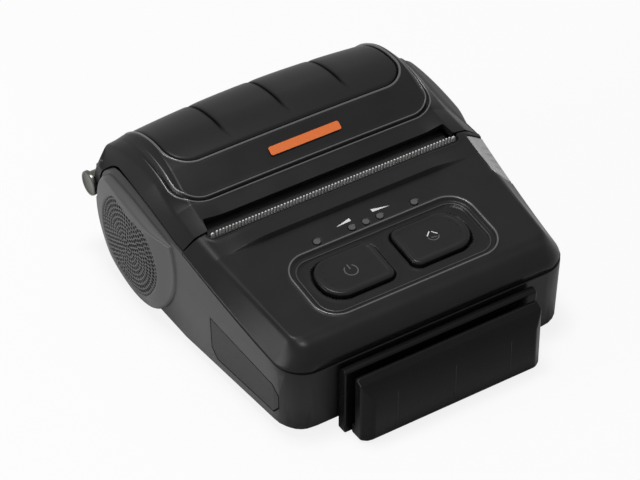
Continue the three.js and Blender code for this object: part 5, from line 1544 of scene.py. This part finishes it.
    def groove_lip(self, name: str, margin: float) -> None:
        """Makes a fine raised line beside the groove, which fades out along the sides.

        Args:
            name: inner or outer.
            margin: distance outside the groove's middle.
        """
        front = self.groove_front + margin
        half, radius = self.groove_half + margin, self.groove_radius + margin
        turn = np.radians(np.linspace(0, 90, 25))
        side_run = np.linspace(self.lip_rear, front - radius, 50)[:-1]
        x = np.concatenate([np.full(len(side_run), half), half - radius + radius * np.cos(turn)])
        along = np.concatenate([side_run, front - radius + radius * np.sin(turn)])
        middle = np.linspace(half - radius, radius - half, 60)[1:-1]
        x = np.concatenate([x, middle, -x[::-1]])
        along = np.concatenate([along, np.full(len(middle), front), along[::-1]])
        path, lean = self.top_path(x, along)
        tilt = np.sign(x) * 0.25 * smooth_step((np.abs(x) - 38) / 4)
        normals = np.stack([tilt, -np.sin(lean), np.cos(lean)], -1)
        normals /= np.linalg.norm(normals, axis=1, keepdims=True)
        profile = bead_profile(((0.26, -0.5), (0.24, 0.0), (0.14, 0.12)), 0.16)
        scale = 0.03 + 0.97 * smooth_step((along + 3.5) / 16)
        # The line is a real bead, painted paler as a painted highlight.
        place(swept(f"groove_lip_{name}", path, normals, profile, scale), "lip", "lid", "black_lid")

    def on_band(self, u: np.ndarray, v: np.ndarray, w: np.ndarray) -> np.ndarray:
        """(u, v, w) is (x, up the slope, height over the band)."""
        rise, run = FORM.band_rise / FORM.band_length, FORM.band_run / FORM.band_length
        return np.stack([u, self.plate_y + v * run - w * rise, self.plate_z + v * rise + w * run], -1)

    def name_plate(self) -> None:
        """Makes the small plate in the sloping band, with a plain orange strip."""
        place(refined("name_plate", 0.15), "black_gloss", "lid", "black_gloss", ("name_plate",))
        strip = plate("plate_strip", rounded_outline(11.6, 1.35, 0.6, 0.6, 6), self.on_band, 0.35, 0.54)
        place(strip, "orange", "lid", "black_gloss")


@dataclass(frozen=True)
class ControlPanel:
    """Upper case as one height over X and Y: nose, sloping panel, the keys' sunk field, plateau and slot."""

    front_y: float = -46.6
    rear_y: float = 3.4
    fine_x: tuple = (3.0, 5.2, 16.0, 24.2, 27.0, 29.4, 33.5, 38.6, 41.4, 45.0, 48.2)
    fine_y: tuple = (-46.5, -45.0, -43.0, -38.2, -36.0, -33.3, -18.7, -16.2, -13.6, -11.8, -5.4, 0.9, 3.1)
    even_x: float = 34.0
    lift: float = 0.3
    nose_length: float = 5.4
    nose_power: float = 1.8
    side_round: float = 0.9
    front_round: float = 1.6
    field_half: tuple = (29.3, 11.7)
    field_y: float = -26.8
    field_radius: float = 7.0
    field_step: float = 0.75
    ledge_step: float = 0.5
    ledge: float = 1.7
    plateau_half: float = 39.6
    plateau_fade: float = 15.0
    plateau_slope: float = 0.045
    channel_half: float = 41.4
    channel_front: float = 0.9
    channel_depth: float = 1.3
    channel_radius: float = 2.3
    lights: tuple = (-16.0, -4.6, 0.0, 4.6, 16.0)
    light_y: float = -12.7
    light_radius: float = 1.0
    light_depth: float = 0.4
    bars: tuple = (-0.3, 1.1)
    key_gap: float = 0.45
    well_depth: float = 2.4
    skin: float = 0.8
    core_centre: tuple = (0.0, 3.4, 21.0)
    core_factors: tuple = (0.985, 0.985, 0.84)
    core_field: tuple = (-26.0, 30.5, 13.0)
    core_low_z: float = 24.0
    core_drop: float = 1.7

    def half_width(self, y: np.ndarray) -> np.ndarray:
        """Half width of a row: the case's own, drawn in as a quarter circle at the front corners.

        Args:
            y: places along.

        Returns:
            Half widths in millimetres.
        """
        radius = FORM.corner_radius
        ahead = np.clip(self.front_y + radius - y, 0, radius)
        return FORM.edge(y) - radius + np.sqrt(radius**2 - ahead**2)

    def grid(self) -> tuple[np.ndarray, np.ndarray]:
        """Places of the surface's points: rows across, the outer columns squeezed to the row's half width.

        Returns:
            X and Y, each (rows, columns).
        """
        marks = tuple(-place for place in self.fine_x) + self.fine_x
        across = spaced(-FORM.half_width, FORM.half_width, marks, 0.24, 0.85, 0.9)
        rows = spaced(self.front_y, self.rear_y, self.fine_y, 0.24, 0.85, 0.85)
        y = np.broadcast_to(rows[:, None], (len(rows), len(across)))
        outer = (self.half_width(y) - self.even_x) / (FORM.half_width - self.even_x)
        size = np.abs(across)
        squeezed = self.even_x + (size - self.even_x) * outer
        return np.sign(across) * np.where(size <= self.even_x, size, squeezed), y

    def height(self, x: np.ndarray, y: np.ndarray) -> np.ndarray:
        """Height of the case without its details: the lesser of the panel and the facet round it, rounded.

        Args:
            x: places across.
            y: places along.

        Returns:
            Z in millimetres.
        """
        radius = FORM.corner_radius
        wide = np.abs(x) + FORM.half_width - FORM.edge(y)
        half_length = self.rear_y - self.front_y
        ahead = self.front_y + half_length - y
        inside = -rounded_distance(wide, ahead, FORM.half_width, half_length, radius)
        sideways = np.maximum(wide - FORM.half_width + radius, 0)
        forwards = np.maximum(ahead - half_length + radius, 0)
        front = forwards**2 / (sideways**2 + forwards**2 + 1e-9)
        base = FORM.seam(y) + self.lift
        panel = self.top(x, y)
        crease = panel - FORM.crease_drop
        share = inside / (FORM.facet + (self.nose_length - FORM.facet) * front)
        slanted = base + (crease - base) * share
        held = np.clip(share, 0, 1)
        nose = base + (crease + 0.4 - base) * (1 - (1 - held) ** self.nose_power) ** (1 / self.nose_power)
        nose = nose + np.maximum(share - 1, 0) * 6
        facet = slanted + (nose - slanted) * front
        return smooth_least(panel, facet, self.side_round + (self.front_round - self.side_round) * front)

    def top(self, x: np.ndarray, y: np.ndarray) -> np.ndarray:
        """Height of the panel's plane, the rise behind it and the plateau, whose step fades sideways.

        Args:
            x: places across.
            y: places along.

        Returns:
            Z in millimetres.
        """
        rise = (FORM.rim_z - FORM.plateau_z) / (FORM.tear_y - FORM.plateau_y)
        behind = np.maximum(y - FORM.plateau_y, 0)
        plain = FORM.panel_z(np.minimum(y, FORM.plateau_y)) + rise * behind
        raised = FORM.plateau_z + FORM.plateau_step + self.plateau_slope * behind
        fade = smooth_step((self.plateau_half + 1.5 - np.abs(x)) / self.plateau_fade)
        return plain + (raised - plain) * fade * smooth_step((y - FORM.plateau_y + 0.2) / 0.45)

    def field(self, x: np.ndarray, y: np.ndarray) -> np.ndarray:
        """Height of the sunk field: a low lip, a first step, a narrow ledge and a second step down.

        Args:
            x: places across.
            y: places along.

        Returns:
            Heights over the panel.
        """
        distance = rounded_distance(x, y - self.field_y, *self.field_half, self.field_radius)
        lip = 0.2 * hump(distance - 0.35, 0.5)
        first = self.field_step * smooth_step((0.25 - distance) / 0.8)
        return lip - first - self.ledge_step * smooth_step((-self.ledge - distance) / 0.5)

    def details(self, x: np.ndarray, y: np.ndarray) -> np.ndarray:
        """Everything sunk or raised on the plain form: field, wells, bars between the keys, channel, button.

        Args:
            x: places across.
            y: places along.

        Returns:
            Heights over the plain form.
        """
        change = self.field(x, y)
        for key in KEYS:
            distance = key.distance(x, y)
            change = change - self.well_depth * smooth_step((self.key_gap - distance) / 0.3)
            change = change + 0.14 * hump(distance - 1.1, 0.5)
        for light_x in self.lights:
            distance = np.hypot(x - light_x, y - self.light_y) - self.light_radius
            change = change - self.light_depth * smooth_step((0.3 - distance) / 0.3)
        for bar_x in self.bars:
            bar = hump(x - bar_x, 0.28) * smooth_step((2.2 - np.abs(y - self.field_y)) / 0.4)
            change = change + 0.18 * bar
        length = self.rear_y - self.channel_front + 6
        channel = rounded_distance(
            x, y - self.channel_front - length, self.channel_half, length, self.channel_radius
        )
        change = change - self.channel_depth * smooth_step((0.1 - channel) / 0.6)
        change = change + 0.15 * hump(channel - 0.6, 0.5)
        return change - BUTTON.sunk(x, y)

    def build(self) -> None:
        """Makes the case's skin over a core that keeps the inside of the CAD solid."""
        x, y = self.grid()
        z = self.height(x, y) + self.details(x, y)
        skin = grid_object("upper_case_skin", np.stack([x, y, z], -1), 0.01, 50, turn=False)
        walled(skin, self.skin)
        place(skin, "black_panel", "base", "black_panel", ("upper_case",))
        place(self.core(), "black_panel", "base", "black_panel")
        self.marks()
        self.lips()

    def core(self) -> bpy.types.Object:
        """Makes the core: the CAD solid drawn in, and sunk under the keys' field, clear of pressed keys.

        Returns:
            The core.
        """
        core = refined("upper_case", 0.0)
        core.name = "upper_case_core"
        middle = np.array(self.core_centre)
        points = middle + (read_points(core) - middle) * np.array(self.core_factors)
        field_y, half_x, half_y = self.core_field
        inside = rounded_distance(points[:, 0], points[:, 1] - field_y, half_x, half_y, 1.0) < 0
        points[:, 2] -= np.where(inside & (points[:, 2] > self.core_low_z), self.core_drop, 0.0)
        write_points(core, points)
        return core

    def lips(self) -> None:
        """Makes the fine lip all round the keys' field and the soft one round its inner ledge, both painted
        paler than the panel as painted highlights.
        """
        profile = bead_profile(((0.3, -0.4), (0.27, 0.0), (0.15, 0.13)), 0.17)
        half_u, half_v = self.field_half
        lips = (("field_lip", "lip", 0.35, 0.12), ("ledge_lip", "soft_lip_highlight", -1.55, -0.72))
        for name, finish, margin, low in lips:
            radius = self.field_radius + margin
            outline = dense(rounded_outline(half_u + margin, half_v + margin, radius, radius, 30), 0.5)
            path = self.on_panel(outline[:, 0], outline[:, 1] + self.field_y, np.full(len(outline), low))
            normals = np.broadcast_to((0.0, -FORM.slope, 1.0) / np.hypot(1.0, FORM.slope), path.shape)
            place(swept(name, path, normals, profile), finish, "base", "black_panel")

    def on_panel(self, u: np.ndarray, v: np.ndarray, w: np.ndarray) -> np.ndarray:
        """(u, v, w) is (x, y, height over the panel)."""
        return np.stack([u, v, FORM.panel_z(v) + w], -1)

    def marks(self) -> None:
        """Makes two printed wedges that point outwards behind the lights."""
        tip_y, wide_y, half = -10.6, -9.9, 0.55
        for name, tip_x, wide_x in (("left", -8.4, -3.4), ("right", 9.3, 3.7)):
            outline = np.array([[tip_x, tip_y], [wide_x, wide_y - half], [wide_x, wide_y + half]])
            wedge = plate(f"wedge_{name}", outline, self.on_panel, -0.05, 0.04)
            place(wedge, "ink", "base", "black_panel")


@dataclass(frozen=True)
class Key:
    """One key: a cap with a rounded edge, a low rim and a faint symbol."""

    name: str
    centre_x: float
    outer: Side
    centre_y: float = -26.0
    half_u: float = 10.5
    half_v: float = 7.2
    outer_radius: float = 6.5
    inner_radius: float = 2.5
    proud: float = 0.1
    shoulder: float = 0.85
    skirt: float = 1.75
    rim_insets: tuple = (1.15, 1.45, 1.8, 2.3, 4.0, 6.0)
    rim_drops: tuple = (0.0, 0.06, 0.14, 0.16, 0.16, 0.16)
    dot_centre: float = 3.2
    dot_ring: float = 4.9

    def distance(self, x: np.ndarray, y: np.ndarray) -> np.ndarray:
        """Signed distance to the key's outline.

        Args:
            x: places across.
            y: places along.

        Returns:
            Distance, negative inside.
        """
        u = (x - self.centre_x) * self.outer.value
        radius = np.where(u > 0, self.outer_radius, self.inner_radius)
        return rounded_distance(u, y - self.centre_y, self.half_u, self.half_v, radius)

    def outline(self, inset: float) -> np.ndarray:
        """The key's outline about its middle.

        Args:
            inset: how far it is drawn in.

        Returns:
            An array of (u, v).
        """
        outer = max(self.outer_radius - inset, 0.5)
        inner = max(self.inner_radius - inset, 0.3)
        right, left = (outer, inner) if self.outer is Side.RIGHT else (inner, outer)
        return rounded_outline(self.half_u - inset, self.half_v - inset, right, left, 12)

    def mapping(self, u: np.ndarray, v: np.ndarray, w: np.ndarray) -> np.ndarray:
        """(u, v, w) is (x, y, height over the panel) from the key's middle."""
        y = self.centre_y + v
        return np.stack([self.centre_x + u, y, FORM.panel_z(y) + w], -1)

    def build(self) -> None:
        """Makes the cap from rings of its outline: up the skirt, over a quarter round, inside a low rim."""
        turn = np.radians(np.linspace(0, 90, 7))
        insets = np.concatenate([[0.0], self.shoulder * (1 - np.cos(turn)), self.rim_insets])
        edge = self.proud - self.shoulder * (1 - np.sin(turn))
        heights = np.concatenate([[-self.skirt], edge, self.proud - np.array(self.rim_drops)])
        rings = [self.mapping(*self.outline(inset).T, height) for inset, height in zip(insets, heights)]
        ring = np.arange(len(rings[0]))
        last = (len(rings) - 1) * len(ring)
        faces = grid_faces(len(rings), len(ring), closed=True).tolist()
        faces += [ring[::-1].tolist(), (ring + last).tolist()]
        cap = new_object(f"{self.name}_cap", np.concatenate(rings), faces)
        tidy_mesh(cap)
        shade(cap, 40)
        place(cap, "key_plastic", self.name, "key_plastic", (self.name,))
        self.symbol()

    def symbol(self) -> None:
        """Prints a power ring or a feed mark, and three dots near the outer end."""
        if self.outer is Side.LEFT:
            bright = []
            faint = [stroke((0.0, 0.4), (0.0, 2.2), 0.34), arc_band((0.0, 0.0), 1.9, 0.34, 125, 415)]
        else:
            bright = [stroke((-1.7, 0.6), (-0.2, 1.9), 0.34), stroke((0.3, 1.6), (1.5, 0.2), 0.3)]
            faint = [arc_band((-0.1, 0.2), 1.75, 0.28, 185, 340), stroke((-0.9, -0.3), (0.8, -0.7), 0.3)]
        dots = []
        for angle in np.radians((35, 5, -25)):
            centre_u = self.outer.value * (self.dot_centre + self.dot_ring * math.cos(angle))
            dots.append(arc_band((centre_u, self.dot_ring * math.sin(angle)), 0.13, 0.26, 0, 345))
        kinds = (("bright", "ink", 0.13, bright), ("faint", "faint_ink", 0.13, faint))
        for kind, finish, drop, shapes in (*kinds, ("dot", "key_plastic", 0.1, dots)):
            for index, shape in enumerate(shapes):
                name = f"{self.name}_{kind}_{index}"
                mark = plate(name, shape, self.mapping, self.proud - 0.3, self.proud - drop)
                place(mark, finish, self.name, "key_plastic")


@dataclass(frozen=True)
class ReleaseButton:
    """Release button flush with the right facet and the side wall, with ribs across its outer half."""

    front_y: float = -15.0
    rear_y: float = 2.0
    fine_y: tuple = (-15.0, 2.0, -8.0, -5.0)
    inset: float = -0.5
    corner: float = 3.0
    gap: float = 0.3
    well: float = 1.8
    lift: float = 0.04
    bottom_z: float = 25.6
    bottom_inset: float = 0.35
    wall: float = 1.0
    bottom_gap: float = 0.45
    roll: float = 0.5
    rib_start: float = -9.6
    rib_pitch: float = 2.5
    rib_count: int = 4
    rib_height: float = 0.45

    def inner_x(self, y: np.ndarray) -> np.ndarray:
        """X of the inner edge, with a quarter circle at its front end.

        Args:
            y: places along.

        Returns:
            X in millimetres.
        """
        edge = FORM.edge(y) - FORM.facet + self.inset
        ahead = np.clip(self.front_y + self.corner - y, 0, self.corner)
        return edge + self.corner - np.sqrt(self.corner**2 - ahead**2)

    def sunk(self, x: np.ndarray, y: np.ndarray) -> np.ndarray:
        """How far the case's skin is sunk under the button.

        Args:
            x: places across.
            y: places along.

        Returns:
            Depths in millimetres.
        """
        along = np.minimum(y - self.front_y, self.rear_y - y)
        inside = np.minimum(x - self.inner_x(y), along) + self.gap
        return self.well * smooth_step(inside / 0.3)

    def build(self, panel: ControlPanel) -> None:
        """Makes the button: the case's own facet carried down the wall, its edges rolled in, ribs added.

        Args:
            panel: the case that it lies flush with.
        """
        y = spaced(self.front_y, self.rear_y, self.fine_y, 0.14, 0.3, 2.0)[:, None]
        share = np.concatenate([np.linspace(0, 0.12, 7)[:-1], np.linspace(0.12, 1, 26)])
        top_y = np.broadcast_to(y, (len(y), len(share)))
        inner, outer = self.inner_x(top_y), FORM.edge(top_y) - 0.05
        x = inner + (outer - inner) * share
        edge = np.minimum(x - inner, np.minimum(top_y - self.front_y, self.rear_y - top_y))
        roll = self.roll * (1 - smooth_step(edge / 0.7))
        rib = sum(hump(top_y - self.rib_start - n * self.rib_pitch, 0.45) for n in range(self.rib_count))
        rib = rib * smooth_step((share - 0.42) / 0.12) * smooth_step((0.97 - share) / 0.06)
        ribbed = smooth_step((share - 0.38) / 0.1) * smooth_step((edge - 0.3) / 0.8)
        z = panel.height(x, top_y) + self.lift - roll + self.rib_height * (rib - 0.5) * ribbed
        down = np.linspace(0, 1, 12)[1:]
        bottom = FORM.settled(y, np.full_like(y, self.bottom_z)) + self.bottom_gap
        side_z = z[:, -1:] + (bottom - z[:, -1:]) * down
        side_x = x[:, -1:] - self.bottom_inset * down - roll[:, -1:] * 0.5
        x, z = np.concatenate([x, side_x], 1), np.concatenate([z, side_z], 1)
        grid = np.stack([x, np.broadcast_to(y, x.shape), z], -1)
        cap = grid_object("release_button_cap", grid, 0.004, 50, turn=False)
        walled(cap, self.wall)
        place(cap, "silver_plastic", "release_button", "silver_plastic", ("release_button",))


@dataclass(frozen=True)
class SideCover:
    """Domed side cover with a rounded edge and a grille of small pits in rings."""

    side: Side
    centre: tuple = (27.7, 23.1)
    hub: tuple = (28.6, 20.4)
    radius: float = 20.95
    drop: float = 1.3
    crown_x: float = 52.95
    rim_fall: float = 1.6
    front_fall: tuple = (1.4, 19.0, 12.0)
    low_fall: tuple = (0.8, 9.0, 7.0)
    edge_round: float = 0.8
    back_x: float = 48.0
    grille: tuple = (29.0, 19.7)
    grille_radius: float = 15.3
    grille_margin: float = 2.4
    grille_sunk: float = 0.3
    pitch: float = 1.34
    pit_radius: float = 0.54
    pit_depth: float = 0.7
    columns: int = 520

    def ceiling(self, y: np.ndarray) -> np.ndarray:
        """Highest Z of the cover: the seam lowered by drop, then its quarter ellipse down.

        Args:
            y: places along.

        Returns:
            Z in millimetres.
        """
        high_half = FORM.seam_arch_z - self.drop - FORM.hinge_z
        share = np.clip((y - FORM.dive_y) / (FORM.dive_length - self.drop), 0, 1)
        dive = FORM.hinge_z + high_half * np.sqrt(1 - share**2)
        return np.where(y <= FORM.dive_y, FORM.seam(y) - self.drop, dive)

    def reach(self, angle: np.ndarray) -> np.ndarray:
        """Distance from the hub to the cover's outline in each direction, found by halving.

        Args:
            angle: directions in radians.

        Returns:
            Distances in millimetres.
        """
        low, high = np.zeros_like(angle), np.full_like(angle, 60.0)
        for _ in range(40):
            middle = (low + high) / 2
            y = self.hub[0] + middle * np.cos(angle)
            z = self.hub[1] + middle * np.sin(angle)
            inside = (np.hypot(y - self.centre[0], z - self.centre[1]) < self.radius) & (z < self.ceiling(y))
            low, high = np.where(inside, middle, low), np.where(inside, high, middle)
        return low

    def build(self) -> None:
        """Makes the cover on a polar grid: crown less the square of the distance, round edge and pits."""
        angle = circle(self.columns)
        share = np.concatenate([np.linspace(0, 0.9, 96)[:-1], np.linspace(0.9, 1, 14)])
        reach = self.reach(angle)
        out = share[:, None] * reach[None, :]
        y = self.hub[0] + out * np.cos(angle)
        z = self.hub[1] + out * np.sin(angle)
        away = np.hypot(y - self.centre[0], z - self.centre[1]) / self.radius
        edge = reach[None, :] - out
        size = self.crown_x - self.rim_fall * away**2
        for place_on, (fall, start, length) in ((y, self.front_fall), (z, self.low_fall)):
            size = size - fall * smooth_step((start - place_on) / length)
        size = size - 0.8 * (1 - np.clip(edge / self.edge_round, 0, 1)) ** 2
        # The pits are sunk into the dome, and pit is also painted as shade by the grille finish, black at
        # their bottoms.
        pit_and_shade, mask = self.pits(y, z, edge)
        size = size - self.grille_sunk * mask - self.pit_depth * pit_and_shade
        back = np.full((2, self.columns), self.back_x)
        y, z = (np.concatenate([part, part[-1:], part[:1]]) for part in (y, z))
        grid = np.stack([self.side.value * np.concatenate([size, back]), y, FORM.settled(y, z)], -1)
        pit_and_shade = np.concatenate([pit_and_shade, 0 * pit_and_shade[:2]])
        name = f"{self.side.name.lower()}_side_cover"
        cover = grid_object(f"{name}_dome", grid, 0.004, 50, closed=True, pits=pit_and_shade)
        place(cover, "grille", "base", "charcoal_case", (name,))

    def pits(self, y: np.ndarray, z: np.ndarray, edge: np.ndarray) -> tuple[np.ndarray, np.ndarray]:
        """Pits on rings about the grille's middle, as many on a ring as fit its length.

        Args:
            y: places along.
            z: heights.
            edge: distance to the cover's outline.

        Returns:
            Depth of the pits from 0 to 1, and the same for the grille's field.
        """
        away = np.hypot(y - self.grille[0], z - self.grille[1])
        turn = np.arctan2(z - self.grille[1], y - self.grille[0])
        ring = np.round(away / self.pitch)
        count = np.maximum(np.round(2 * np.pi * ring), 1)
        along = turn / (2 * np.pi) * count + 0.5 * (ring % 2)
        across = (along - np.round(along)) / count * 2 * np.pi * np.maximum(ring, 0.01) * self.pitch
        distance = np.hypot(away - ring * self.pitch, across)
        room = np.minimum(self.grille_radius - away, edge - self.grille_margin)
        whole = smooth_step((room - 0.5) / 0.3)
        return smooth_step((self.pit_radius - distance) / 0.14) * whole, smooth_step(room / 0.7)


@dataclass(frozen=True)
class TearBar:
    """Toothed bar: one comb outline given a thickness, with a rounded lug at each end."""

    half: float = 40.4
    pitch: float = 1.04
    tooth: tuple = (0.24, 0.30, 0.74, 0.80)
    base_z: float = 34.45
    root_z: float = 35.2
    tip_z: float = 37.42
    lug_drop: float = 0.75
    lug_radius: float = 0.55
    front_y: float = 2.45
    thickness: float = 0.4

    def build(self) -> None:
        """Makes the bar."""
        count = int(2 * (self.half - 1.2) / self.pitch)
        foot = -count * self.pitch / 2 + np.arange(count)[:, None] * self.pitch
        across = foot + np.array(self.tooth)[None]
        high = np.broadcast_to((self.root_z, self.tip_z, self.tip_z, self.root_z), across.shape)
        teeth = np.stack([across, high], -1).reshape(-1, 2)
        turn = np.radians(np.linspace(180, 0, 9))
        lug = self.lug_radius * np.stack([np.cos(turn), np.sin(turn)], 1)
        lug_x, lug_z = self.half - self.lug_radius, self.tip_z - self.lug_drop
        inner_x = self.half - 2 * self.lug_radius
        left = [*(lug + (-lug_x, lug_z)), (-inner_x, self.root_z)]
        right = [(inner_x, self.root_z), *(lug + (lug_x, lug_z))]
        feet = [(self.half, self.base_z), (-self.half, self.base_z)]
        outline = np.concatenate([left, teeth, right, feet])[::-1]
        near = -self.front_y - self.thickness
        bar = plate("tear_bar_comb", outline, partial(facing_front, 0.0), near, -self.front_y)
        shade(bar, 30)
        place(bar, "plated_teeth", "base", "steel", ("tear_bar",))


@dataclass(frozen=True)
class StrapStud:
    """Strap stud: a turned neck with a flanged head whose face is dished."""

    side: Side
    profile: tuple = (
        (42.5, 0.0), (42.5, 3.2), (49.2, 3.2), (49.35, 3.35), (49.45, 3.65), (49.6, 3.78), (50.35, 3.78),
        (50.6, 3.66), (50.68, 3.4), (50.66, 3.1), (50.4, 2.9), (50.25, 2.2), (50.25, 0.0),
    )

    def build(self) -> None:
        """Makes the stud: the profile turned about the hinge line."""
        places, radii = np.array(self.profile).T
        name = f"strap_stud_{self.side.name.lower()}"
        grid = FORM.turned(self.side.value * places, radii, 56)
        stud = grid_object(f"{name}_turned", grid, 0.01, 35, closed=True)
        place(stud, "dark_steel", "base", "dark_steel", (name,))


@dataclass(frozen=True)
class CardReader:
    """Card reader on the front: its walls reach down to the floor, and its head has three fine lines."""

    drop: float = 1.9
    low_z: float = 2.4
    fade: float = 10.0
    front_y: float = -58.0
    inset: float = 0.12
    line_x: tuple = (-19.2, -0.3, 18.0)
    line_half: float = 0.13
    line_z: tuple = (4.6, 15.6)

    def settled(self, points: np.ndarray) -> np.ndarray:
        """The reader's points with its low walls drawn down and its front face drawn in.

        Args:
            points: points in millimetres, (n, 3).

        Returns:
            The moved points.
        """
        down = self.drop * (1 - smooth_step((points[:, 2] - self.low_z) / self.fade))
        back = self.inset * smooth_step((self.front_y + 1.0 - points[:, 1]) / 0.8)
        return points + np.stack([0 * back, back, -down], -1)

    def build(self) -> None:
        """Makes the fine upright lines on the front of the head."""
        low, high = self.line_z
        for index, x in enumerate(self.line_x):
            left, right = x - self.line_half, x + self.line_half
            outline = np.array([(left, low), (right, low), (right, high), (left, high)])
            mapping = partial(facing_front, self.front_y + self.inset)
            line = plate(f"reader_line_{index}", outline, mapping, -0.2, 0.06)
            place(line, "black_lid", "base", "black_panel")


@dataclass(frozen=True)
class FineCopy:
    """A copy of one CAD piece of the outside, with rounded edges and walls that reach down to the floor."""

    node: str
    finish: str
    width: float

    def build(self, body: str, slot: str) -> None:
        """Makes the copy.

        Args:
            body: body of the CAD piece.
            slot: its material slot.
        """
        piece = refined(self.node, self.width)
        points = read_points(piece)
        if self.node.startswith("card_reader"):
            points = READER.settled(points)
        else:
            points[:, 2] = FORM.settled(points[:, 1], points[:, 2])
        write_points(piece, points)
        place(piece, self.finish, body, slot, (self.node,))


KEYS = (Key("power_key", -13.5, Side.LEFT), Key("feed_key", 13.5, Side.RIGHT))
BUTTON = ReleaseButton()
READER = CardReader()
FINE_COPIES = (
    FineCopy("lower_case", "charcoal_case", 0.0),
    FineCopy("card_reader_rail", "black_reader", 1.0),
    FineCopy("card_reader_head", "black_reader", 1.2),
    FineCopy("port_cover", "cover_rubber", 0.3),
)


def dress_frame(slots: dict) -> None:
    """Gives every CAD node the material of its slot.

    Args:
        slots: material slot of each node.
    """
    for name, node in frame["nodes"].items():
        node.data.materials.clear()
        node.data.materials.append(paint(slots[name]))


def main() -> None:
    """Builds the studio and the printer's pieces in order."""
    logging.basicConfig(level=logging.INFO, format="%(message)s")
    slots = {row["node"]: row["material_slot"] for row in frame["record"]["subparts"]}
    bodies = {node: body for body, nodes in frame["record"]["behaviour"]["bodies"].items() for node in nodes}
    dress_frame(slots)
    Studio().build()
    Lid().build()
    panel = ControlPanel()
    panel.build()
    for key in KEYS:
        key.build()
    BUTTON.build(panel)
    for side in Side:
        SideCover(side).build()
        StrapStud(side).build()
    TearBar().build()
    READER.build()
    for copy in FINE_COPIES:
        copy.build(bodies[copy.node], slots[copy.node])


if __name__ == "__main__":
    main()
